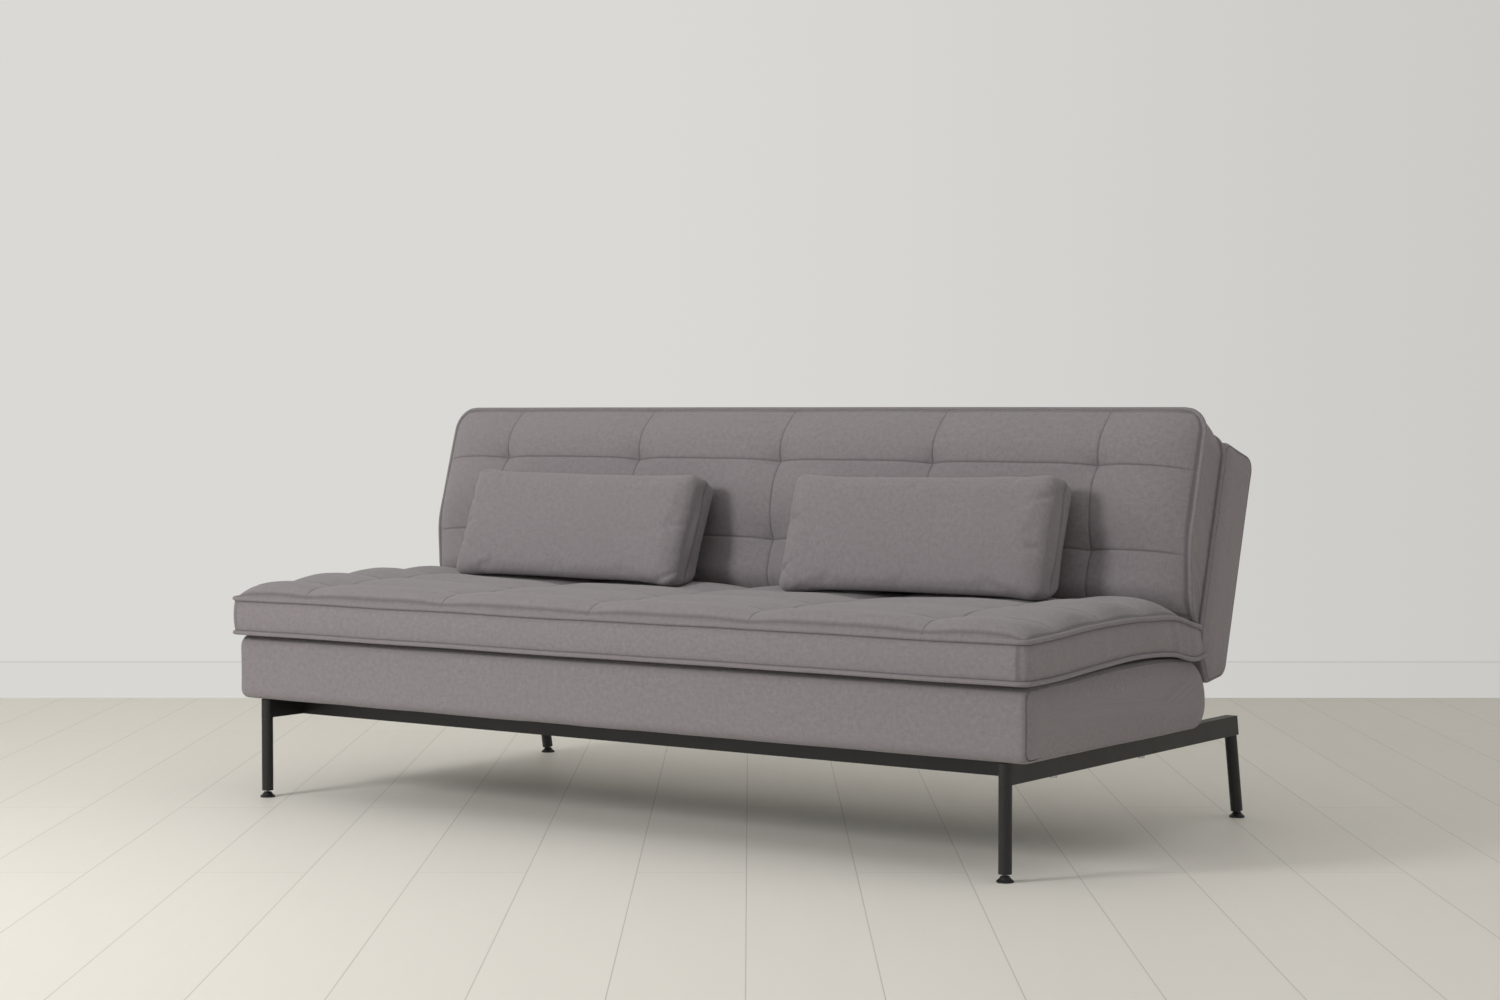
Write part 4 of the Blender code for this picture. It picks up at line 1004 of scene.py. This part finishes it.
def cushion(side, filling, look, material):
    """One of the two lumbar cushions, standing on the seat and leaning on the back."""
    low, high = CUSHIONS[side]
    right = side == "right"
    obj = filling.copy()
    obj.data = filling.data.copy()
    obj.name = obj.data.name = f"lumbar_cushion_{side}"
    bpy.context.scene.collection.objects.link(obj)
    mesh = obj.data
    if right:
        mesh.transform(Matrix.Scale(-1, 4, (1, 0, 0)))
        mesh.flip_normals()
    lean = math.pi / 2 - SITTING + look.extra_lean[right]
    half = Vector((look.width, look.depth, look.height)) / 2
    co = np.array([v.co for v in mesh.vertices])
    rim = np.maximum(np.abs(co[:, 0] / half.x), np.abs(co[:, 2] / half.z))
    line = np.exp(-(co[:, 1] / 0.0026) ** 2) * smoothstep(0.8, 0.9, rim)
    ear = np.exp(
        -((np.abs(co[:, 0]) - half.x) / 0.022) ** 2 - ((np.abs(co[:, 2]) - half.z) / 0.022) ** 2
        - (co[:, 1] / 0.014) ** 2
    )
    front = smoothstep(0.3, 0.8, -co[:, 1] / half.y)
    co[:, 1] += front * cushion_creases(co, look, right)
    co[:, (0, 2)] *= 1 - 0.008 * line[:, None]
    co[:, (0, 2)] += np.sign(co[:, (0, 2)]) * 0.007 * ear[:, None]
    co[:, 1] += 0.0028 * ripple(co, 9.0, 3.0 + right) * np.sign(co[:, 1])
    co[:, 2] += 0.0035 * ripple(co, 6.0, 8.0 + right)
    spread = np.stack([co[:, 0] + co[:, 1], co[:, 2] + co[:, 1], co[:, 0] * 0], 1)
    low_half = smoothstep(0.0, 1.0, -co[:, 2] / half.z)
    co[:, 2] += (co[:, 1] + half.y) * math.tan(lean) * low_half  # level foot
    mesh.vertices.foreach_set("co", co.ravel())
    store(mesh, "cloth", spread + right)
    # Painted shade along the edge seam, through the crease attribute.
    store(mesh, "crease", line * 0.5)
    mesh.materials.clear()
    mesh.materials.append(material)
    mesh.shade_smooth()
    foot = Vector((
        (low.x + high.x) / 2 - 0.003, low.y - 0.016 - look.forward[right], low.z + look.rise
    ))
    turn = Matrix.Translation(foot) @ Matrix.Rotation(-lean, 4, "X")
    turn = turn @ Matrix.Translation((0, half.y, half.z))
    mesh.transform(turn @ Matrix.Rotation(look.twist[right], 4, "Y"))
    co = [v.co.copy() for v in mesh.vertices]
    press(co, piece("back_mattress"), Vector((0, math.sin(SITTING), -math.cos(SITTING))), 0.002)
    press(co, piece("seat_mattress"), Vector((0, 0, -1)), 0.0015)
    mesh.vertices.foreach_set("co", np.array(co).ravel())
    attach(obj, f"cushion_{side}")
    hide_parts(f"cushion_{side}")
    return obj


def piece(name):
    """A piece made by another operator, which has to run first."""
    obj = bpy.data.objects.get(name)
    if obj is None:
        raise RuntimeError(f"{name} has to be made before the cushions")
    return obj


def bake_modifiers(obj):
    """Replaces an object's mesh by what its modifiers make of it."""
    bpy.context.view_layer.update()
    shape = obj.evaluated_get(bpy.context.evaluated_depsgraph_get())
    mesh = bpy.data.meshes.new_from_object(shape)
    obj.modifiers.clear()
    old, obj.data = obj.data, mesh
    bpy.data.meshes.remove(old)
    mesh.name = obj.name


# ------------------------------------------------------------------ settings
class SofaFabric(bpy.types.PropertyGroup):
    colour: FloatVectorProperty(
        name="Colour", description="Colour of the cloth", subtype="COLOR",
        default=(0.235, 0.212, 0.222), min=0, max=1,
    )
    thread: FloatProperty(
        name="Thread", description="Width of one thread of the weave", default=0.0011,
        unit="LENGTH",
    )
    sheen: FloatProperty(
        name="Sheen", description="How dusty the cloth looks along its edges", default=0.25,
        min=0, max=1, subtype="FACTOR",
    )
    # Strength of the painted shade in the seams and creases.
    seam_shade: FloatProperty(
        name="Seam shade", description="How dark the cloth is down in a seam", default=0.5,
        min=0, max=1, subtype="FACTOR",
    )


class SofaMattress(bpy.types.PropertyGroup):
    # Strength of the painted shade along the pipings.
    welt_shade: FloatProperty(
        name="Welt shade", description="How dark the cloth is along the pipings",
        default=0.55, min=0, max=1, subtype="FACTOR",
    )
    column: FloatProperty(
        name="Column pitch", description="Between quilting seams across the width",
        default=0.388, unit="LENGTH",
    )
    row: FloatProperty(
        name="Row pitch", description="Between the seams that run along the sofa",
        default=0.170, unit="LENGTH",
    )
    first_row: FloatProperty(
        name="First row", description="From the edge to the first seam", default=0.1175,
        unit="LENGTH",
    )
    back_first_row: FloatProperty(
        name="First row of the back", description="From the top edge to the first seam",
        default=0.132, unit="LENGTH",
    )
    crown: FloatProperty(
        name="Crown", description="Rise of the seat pad inside its piping", default=0.031,
        unit="LENGTH",
    )
    pillow: FloatProperty(
        name="Pillow", description="Rise of each quilted field over its seams", default=0.010,
        unit="LENGTH",
    )
    dimple: FloatProperty(
        name="Dimple", description="Depth where two seams cross", default=0.013,
        unit="LENGTH",
    )
    seam: FloatProperty(
        name="Seam", description="Depth of the cloth that dips into a seam", default=0.0018,
        unit="LENGTH",
    )
    piping: FloatProperty(
        name="Piping", description="Radius of the piping", default=0.0046, unit="LENGTH",
    )
    box_edge: FloatProperty(
        name="Box edge", description="Rounding beside the side panels of the boxes",
        default=0.010, unit="LENGTH",
    )
    box_swell: FloatProperty(
        name="Box swell", description="Swell of the side panels of the boxes",
        default=0.0044, unit="LENGTH",
    )


class SofaCushion(bpy.types.PropertyGroup):
    width: FloatProperty(
        name="Width", description="Width before filling", default=0.642, unit="LENGTH",
    )
    height: FloatProperty(
        name="Height", description="Height before filling", default=0.268, unit="LENGTH",
    )
    depth: FloatProperty(
        name="Depth", description="Depth before filling", default=0.102, unit="LENGTH",
    )
    pinch: FloatProperty(
        name="Pinch", description="How much thinner the cushion is at its corners",
        default=0.05, min=0, max=1, subtype="FACTOR",
    )
    belly: FloatProperty(
        name="Belly", description="How much thicker the cushion is in its middle",
        default=0.14, min=0, max=1, subtype="FACTOR",
    )
    hollow: FloatProperty(
        name="Hollow", description="How far the sides pull in between the corners",
        default=0.012, min=0, max=1, subtype="FACTOR",
    )
    travel: FloatProperty(
        name="Travel", description="How far the filling may push the cloth",
        default=0.006, unit="LENGTH",
    )
    pressure: FloatProperty(
        name="Pressure", description="Pressure of the filling", default=4.0,
    )
    stiffness: FloatProperty(
        name="Stiffness", description="Stiffness of the cloth while it fills", default=30.0,
    )
    forward: FloatVectorProperty(
        name="Forward", description="In front of the cushion's frame, left and right", size=2,
        default=(0.030, 0.018), subtype="NONE",
    )
    rise: FloatProperty(
        name="Rise", description="Over the cushion's frame", default=-0.004, unit="LENGTH",
    )
    extra_lean: FloatVectorProperty(
        name="Extra lean", description="Lean beyond the back's, left and right", size=2,
        default=(math.radians(4.0), math.radians(1.0)), subtype="NONE",
    )
    twist: FloatVectorProperty(
        name="Tilt", description="Tilt in the plane of the back, left and right", size=2,
        default=(math.radians(0.6), math.radians(-0.6)), subtype="NONE",
    )
    crease: FloatProperty(
        name="Crease", description="Depth of the creases at the ends", default=0.0042,
        unit="LENGTH",
    )

    def creases(self):
        """Height at the end, slope, length and depth of each crease."""
        return (
            (0.095, -0.55, 0.055, self.crease), (0.040, 0.35, 0.075, self.crease * 0.8),
            (-0.015, -0.30, 0.060, self.crease * 0.7), (-0.070, 0.60, 0.050, self.crease),
        )


class SofaFinishes(bpy.types.PropertyGroup):
    steel: FloatVectorProperty(
        name="Frame steel", description="Powder coat of the base", subtype="COLOR",
        default=(0.009, 0.009, 0.0091), min=0, max=1,
    )
    steel_roughness: FloatProperty(
        name="Frame roughness", description="Roughness of the powder coat", default=0.42,
        min=0, max=1, subtype="FACTOR",
    )
    plating: FloatVectorProperty(
        name="Plating", description="Zinc-plated bolts, springs and screws", subtype="COLOR",
        default=(0.55, 0.55, 0.56), min=0, max=1,
    )
    plastic: FloatVectorProperty(
        name="Plastic", description="Feet and plugs", subtype="COLOR",
        default=(0.007, 0.007, 0.0075), min=0, max=1,
    )
    timber: FloatVectorProperty(
        name="Timber", description="Frames inside the boxes", subtype="COLOR",
        default=(0.52, 0.36, 0.20), min=0, max=1,
    )
    lining: FloatVectorProperty(
        name="Lining", description="Dust cloth and lining", subtype="COLOR",
        default=(0.018, 0.018, 0.019), min=0, max=1,
    )


class SofaStudio(bpy.types.PropertyGroup):
    floor: FloatVectorProperty(
        name="Floor", description="Colour of the pale floor", subtype="COLOR",
        default=(0.83, 0.80, 0.735), min=0, max=1,
    )
    wall: FloatVectorProperty(
        name="Wall", description="Colour of the backdrop", subtype="COLOR",
        default=(0.701, 0.694, 0.665), min=0, max=1,
    )
    board: FloatProperty(
        name="Board", description="Width of the floor's boards", default=0.2015,
        unit="LENGTH",
    )
    board_length: FloatProperty(
        name="Board length", description="Length of the floor's boards", default=2.2,
        unit="LENGTH",
    )
    board_shift: FloatProperty(
        name="Board shift", description="Joint beside the middle of the sofa",
        default=-0.0235, unit="LENGTH",
    )
    key: FloatProperty(
        name="Key light", description="Power of the soft light at the left", default=88.0,
    )
    overhead: FloatProperty(
        name="Overhead", description="Power of the light under the ceiling", default=15.0,
    )
    ambient: FloatProperty(
        name="Ambient", description="Strength of the even light from all round", default=0.64,
    )


# ------------------------------------------------------------------ operators
def fabric():
    """The sofa's cloth, made once."""
    look = bpy.context.scene.sofa_fabric
    return bpy.data.materials.get("linen") or linen("linen", look.colour, look)


class SOFA_OT_mattress(bpy.types.Operator):
    """Build the quilted mattress: two piped pads and the core in their fold"""

    bl_idname = "sofa.mattress"
    bl_label = "Mattress"

    def execute(self, context):
        look, cloth = MattressLook(context.scene), fabric()
        seat, seat_obj = seat_mattress(look, cloth)
        back, back_obj = back_mattress(look, cloth)
        for pad, obj, body, node in (
            (seat, seat_obj, "frame", "seat_pad"), (back, back_obj, "back", "back_pad"),
        ):
            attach(obj, body)
            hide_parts(node)
            for level, lift in (("face", 0.0), ("underside", 0.0)):
                path = pad.edge_path(level, lift, 0.0015)
                where = pad.name.split("_")[0]
                roll = tube(f"{where}_piping_{level}", pad.place(path), look.piping, cloth)
                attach(roll, body)
        core = fold_cloth(look, cloth)
        return {"FINISHED"}


class SOFA_OT_boxes(bpy.types.Operator):
    """Pull cloth over the seat box and the back box"""

    bl_idname = "sofa.boxes"
    bl_label = "Upholstered boxes"

    def execute(self, context):
        look, cloth = MattressLook(context.scene), fabric()
        for obj, body, node in (
            (seat_box_cloth(look, cloth), "frame", "seat_cover"),
            (back_box_cloth(look, cloth), "back", "back_cover"),
        ):
            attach(obj, body)
            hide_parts(node)
        return {"FINISHED"}


class SOFA_OT_cushions(bpy.types.Operator):
    """Fill the two lumbar cushions"""

    bl_idname = "sofa.cushions"
    bl_label = "Lumbar cushions"

    def execute(self, context):
        look = context.scene.sofa_cushion
        filling = filled_cushion(look)
        for side in CUSHIONS:
            cushion(side, filling, look, fabric())
        bpy.data.objects.remove(filling)
        return {"FINISHED"}


class SOFA_OT_finishes(bpy.types.Operator):
    """Give the base, feet, timber, springs and linings their finishes"""

    bl_idname = "sofa.finishes"
    bl_label = "Finishes"

    def execute(self, context):
        look = context.scene.sofa_finishes
        slots = {
            "frame_steel": powder_coat("powder_coat", look.steel, look.steel_roughness),
            "bright_steel": bright_steel("zinc_plating", look.plating),
            "foot_plastic": moulded_plastic("moulded_plastic", look.plastic),
            "timber": pine("pine", look.timber),
            "lining": spunbond("dust_cloth", look.lining),
            "upholstery": fabric(),
        }
        screw = threaded_steel("levelling_screw", look.plating, 0.0012)
        for part in frame["record"]["subparts"]:
            node, slot = part["node"], part["material_slot"]
            finish = screw if node.startswith("foot_stem") else slots[slot]
            mesh = NODES[node].data
            mesh.materials.clear()
            mesh.materials.append(finish)
        return {"FINISHED"}


class SOFA_OT_studio(bpy.types.Operator):
    """Set up the floor, the backdrop, the soft light and the camera"""

    bl_idname = "sofa.studio"
    bl_label = "Studio"

    def execute(self, context):
        look = context.scene.sofa_studio
        camera(context.scene)
        floor_and_wall(look)
        lights(look, context.scene)
        context.scene.view_settings.view_transform = "Standard"
        return {"FINISHED"}


class MattressLook:
    """The mattress's and the cloth's settings in one place."""

    def __init__(self, scene):
        self.scene = scene

    def __getattr__(self, key):
        for group in (self.scene.sofa_mattress, self.scene.sofa_fabric):
            if hasattr(group, key):
                return getattr(group, key)
        raise AttributeError(key)


# ------------------------------------------------------------------ studio
CAMERA_PLACE = Vector((3.3657, -4.6758, 0.8465))
CAMERA_TURN = (math.pi / 2 - 0.0330, 0.0, 0.6187)
WALL_DISTANCE = 7.98  # from the camera, straight ahead


def camera(scene):
    data = bpy.data.cameras.new("Camera")
    data.lens, data.sensor_width = 65.08, 36.0
    data.clip_start, data.clip_end = 0.1, 100.0
    obj = bpy.data.objects.new("Camera", data)
    scene.collection.objects.link(obj)
    obj.location, obj.rotation_euler = CAMERA_PLACE, CAMERA_TURN
    scene.camera = obj


def plane(name, width, depth, place, material):
    """A rectangle, width along X and depth along Y before it is placed."""
    bm = bmesh.new()
    bmesh.ops.create_grid(bm, x_segments=1, y_segments=1, size=0.5)
    bmesh.ops.scale(bm, vec=(width, depth, 1), verts=bm.verts)
    bmesh.ops.transform(bm, matrix=place, verts=bm.verts)
    mesh = bpy.data.meshes.new(name)
    bm.to_mesh(mesh)
    bm.free()
    mesh.materials.append(material)
    obj = bpy.data.objects.new(name, mesh)
    bpy.context.scene.collection.objects.link(obj)
    return obj


def floor_paint(look):
    """Pale oiled boards, laid along the floor's own X, with fine dark joints."""
    shader = Shader("pale_boards", Specular_IOR_Level=0.3)
    place = shader.add("ShaderNodeTexCoord", output="Object")
    boards = shader.add(
        "ShaderNodeTexBrick", {"offset": 0.37, "offset_frequency": 2},
        {
            "Vector": place, "Scale": 1.0, "Mortar Size": 0.0011, "Mortar Smooth": 0.2,
            "Brick Width": look.board_length, "Row Height": look.board, "Bias": 0.0,
            "Color1": scaled(look.floor, 1.0), "Color2": scaled(look.floor, 0.965),
            "Mortar": scaled(look.floor, 0.55),
        }, "Color",
    )
    grain = shader.noise(place * (2.0, 30.0, 1.0), 1.0, 4.0, 0.6)
    stain = shader.noise(place * (1.5, 5.0, 1.0), 1.0, 3.0, 0.5)
    tint = shader.mix(boards, scaled(look.floor, 0.92), grain * 0.35 + stain * 0.35)
    return shader.finish(Base_Color=tint, Roughness=0.42 + 0.2 * grain)


def wall_paint(look, name, tone, rim):
    """Matt paint that glows for camera rays, so its tone is painted light: even behind the
    sofa and fading a little to the right as a painted falloff of the light. Above rim it has a
    little painted shade, which draws the skirting's edge. It is clear from behind, so the
    sofa's back can be looked at."""
    shader = Shader(name, Specular_IOR_Level=0.2)
    place = shader.add("ShaderNodeTexCoord", output="Object")
    across = shader.add("ShaderNodeSeparateXYZ", {}, {"Vector": place}, "X")
    roller = shader.noise(place, 90.0, 3.0)
    # Painted light falloff: the wall darkens towards the right.
    drift = shader.add(
        "ShaderNodeMapRange", {"interpolation_type": "SMOOTHSTEP"},
        {"Value": across, "From Min": -0.6, "From Max": 2.6}, "Result",
    )
    tint = shader.mix(look.wall, scaled(look.wall, 0.84), drift)
    tint = shader.mix(tint, scaled(look.wall, 0.98), roller * 0.2)
    height = shader.add("ShaderNodeSeparateXYZ", {}, {"Vector": place}, "Z")
    # Painted shade above rim, which draws the skirting's top edge.
    over = shader.add("ShaderNodeMath", {"operation": "GREATER_THAN"}, {0: height, 1: rim})
    tint = shader.mix(tint, (0.0, 0.0, 0.0), over * 0.10 + (1 - tone))
    # For camera rays the wall glows with its painted tone in place of being lit.
    surface = Link(shader, shader.surface.outputs["BSDF"])
    glow = shader.add("ShaderNodeEmission", {}, {"Color": tint}, "Emission")
    seen = shader.add("ShaderNodeLightPath", output="Is Camera Ray")
    shown = shader.add(
        "ShaderNodeMixShader", {}, {"Fac": seen, 1: surface, 2: glow}, "Shader",
    )
    from_behind = shader.add("ShaderNodeNewGeometry", output="Backfacing")
    clear = shader.add("ShaderNodeBsdfTransparent", output="BSDF")
    shown = shader.add(
        "ShaderNodeMixShader", {}, {"Fac": from_behind, 1: shown, 2: clear}, "Shader",
    )
    target = next(n for n in shader.tree.nodes if n.type == "OUTPUT_MATERIAL")
    shader.tree.links.new(shown.socket, target.inputs["Surface"])
    return shader.finish(Base_Color=tint, Roughness=0.85 + 0.1 * roller)


def floor_and_wall(look):
    """The floor's boards run straight away from the camera to the wall behind."""
    yaw = CAMERA_TURN[2]
    along = Matrix.Rotation(yaw + math.pi / 2, 4, "Z")
    boards = plane("floor", 30, 30, Matrix.Identity(4), floor_paint(look))
    boards.matrix_world = along @ Matrix.Translation((0, look.board_shift, 0))
    ahead = Vector((-math.sin(yaw), math.cos(yaw), 0))
    foot = Vector((CAMERA_PLACE.x, CAMERA_PLACE.y, 0)) + ahead * WALL_DISTANCE
    stand = Matrix.Translation(foot) @ Matrix.Rotation(yaw, 4, "Z")
    paint = wall_paint(look, "wall_paint", 1.0, 10.0)
    wall = plane("wall", 30, 9, Matrix.Rotation(math.pi / 2, 4, "X"), paint)
    wall.matrix_world = stand @ Matrix.Translation((0, 0, 4.5))
    bm = bmesh.new()
    bmesh.ops.create_cube(bm, size=1.0)
    bmesh.ops.scale(bm, vec=(30, 0.016, 0.108), verts=bm.verts)
    bmesh.ops.translate(bm, vec=(0, -0.008, 0.054), verts=bm.verts)
    top = [e for e in bm.edges if all(v.co.z > 0.1 and v.co.y < -0.01 for v in e.verts)]
    bmesh.ops.bevel(bm, geom=top, offset=0.005, segments=3, profile=0.5, affect="EDGES")
    rear = [f for f in bm.faces if f.normal.y > 0.9 or f.normal.z < -0.9]
    bmesh.ops.delete(bm, geom=rear, context="FACES")
    mesh = bpy.data.meshes.new("skirting")
    bm.to_mesh(mesh)
    bm.free()
    # Its paint is 1.5 % darker than the wall's, with painted shade above 0.1035 m on its bevelled top edge.
    mesh.materials.append(wall_paint(look, "skirting_paint", 0.985, 0.1035))
    board = bpy.data.objects.new("skirting", mesh)
    board.matrix_world = stand
    bpy.context.scene.collection.objects.link(board)


def area_light(name, place, target, size, power, colour=(1, 1, 1)):
    data = bpy.data.lights.new(name, "AREA")
    data.shape, data.size, data.size_y = "RECTANGLE", size[0], size[1]
    data.energy, data.color = power, colour
    obj = bpy.data.objects.new(name, data)
    bpy.context.scene.collection.objects.link(obj)
    obj.location = place
    obj.rotation_euler = (Vector(target) - Vector(place)).to_track_quat("-Z", "Y").to_euler()


def lights(look, scene):
    area_light("key", (-1.4, -4.0, 2.25), (0, 0, 0.4), (1.0, 1.0), look.key)
    area_light("overhead", (0, -1.0, 4.5), (0, 0, 0), (5, 5), look.overhead)
    world = bpy.data.worlds.new("studio")
    scene.world = world
    world.use_nodes = True
    background = world.node_tree.nodes["Background"]
    background.inputs["Color"].default_value = (1.0, 0.99, 0.97, 1.0)
    background.inputs["Strength"].default_value = look.ambient


# ------------------------------------------------------------------ panel
OPERATORS = (
    SOFA_OT_finishes, SOFA_OT_boxes, SOFA_OT_mattress, SOFA_OT_cushions, SOFA_OT_studio,
)
GROUPS = {
    "sofa_fabric": SofaFabric, "sofa_mattress": SofaMattress, "sofa_cushion": SofaCushion,
    "sofa_finishes": SofaFinishes, "sofa_studio": SofaStudio,
}


class SOFA_PT_panel(bpy.types.Panel):
    """The sofa bed's pieces and settings"""

    bl_label = "Futon Sofa Bed"
    bl_idname = "SOFA_PT_panel"
    bl_space_type = "VIEW_3D"
    bl_region_type = "UI"
    bl_category = "Sofa Bed"

    def draw(self, context):
        for operator in OPERATORS:
            self.layout.operator(operator.bl_idname)
        for name in GROUPS:
            group = getattr(context.scene, name)
            box = self.layout.box()
            for prop in group.bl_rna.properties:
                if prop.identifier not in {"rna_type", "name"}:
                    box.prop(group, prop.identifier)


def register():
    for cls in (*GROUPS.values(), *OPERATORS, SOFA_PT_panel):
        bpy.utils.register_class(cls)
    for name, group in GROUPS.items():
        setattr(bpy.types.Scene, name, PointerProperty(type=group))


def unregister():
    for name in GROUPS:
        delattr(bpy.types.Scene, name)
    for cls in reversed((*GROUPS.values(), *OPERATORS, SOFA_PT_panel)):
        bpy.utils.unregister_class(cls)


def main():
    for obj in [o for o in bpy.data.objects if o.type in {"CAMERA", "LIGHT"}]:
        bpy.data.objects.remove(obj, do_unlink=True)
    register()
    bpy.ops.sofa.finishes()
    bpy.ops.sofa.boxes()
    bpy.ops.sofa.mattress()
    bpy.ops.sofa.cushions()
    bpy.ops.sofa.studio()


if __name__ == "__main__":
    main()
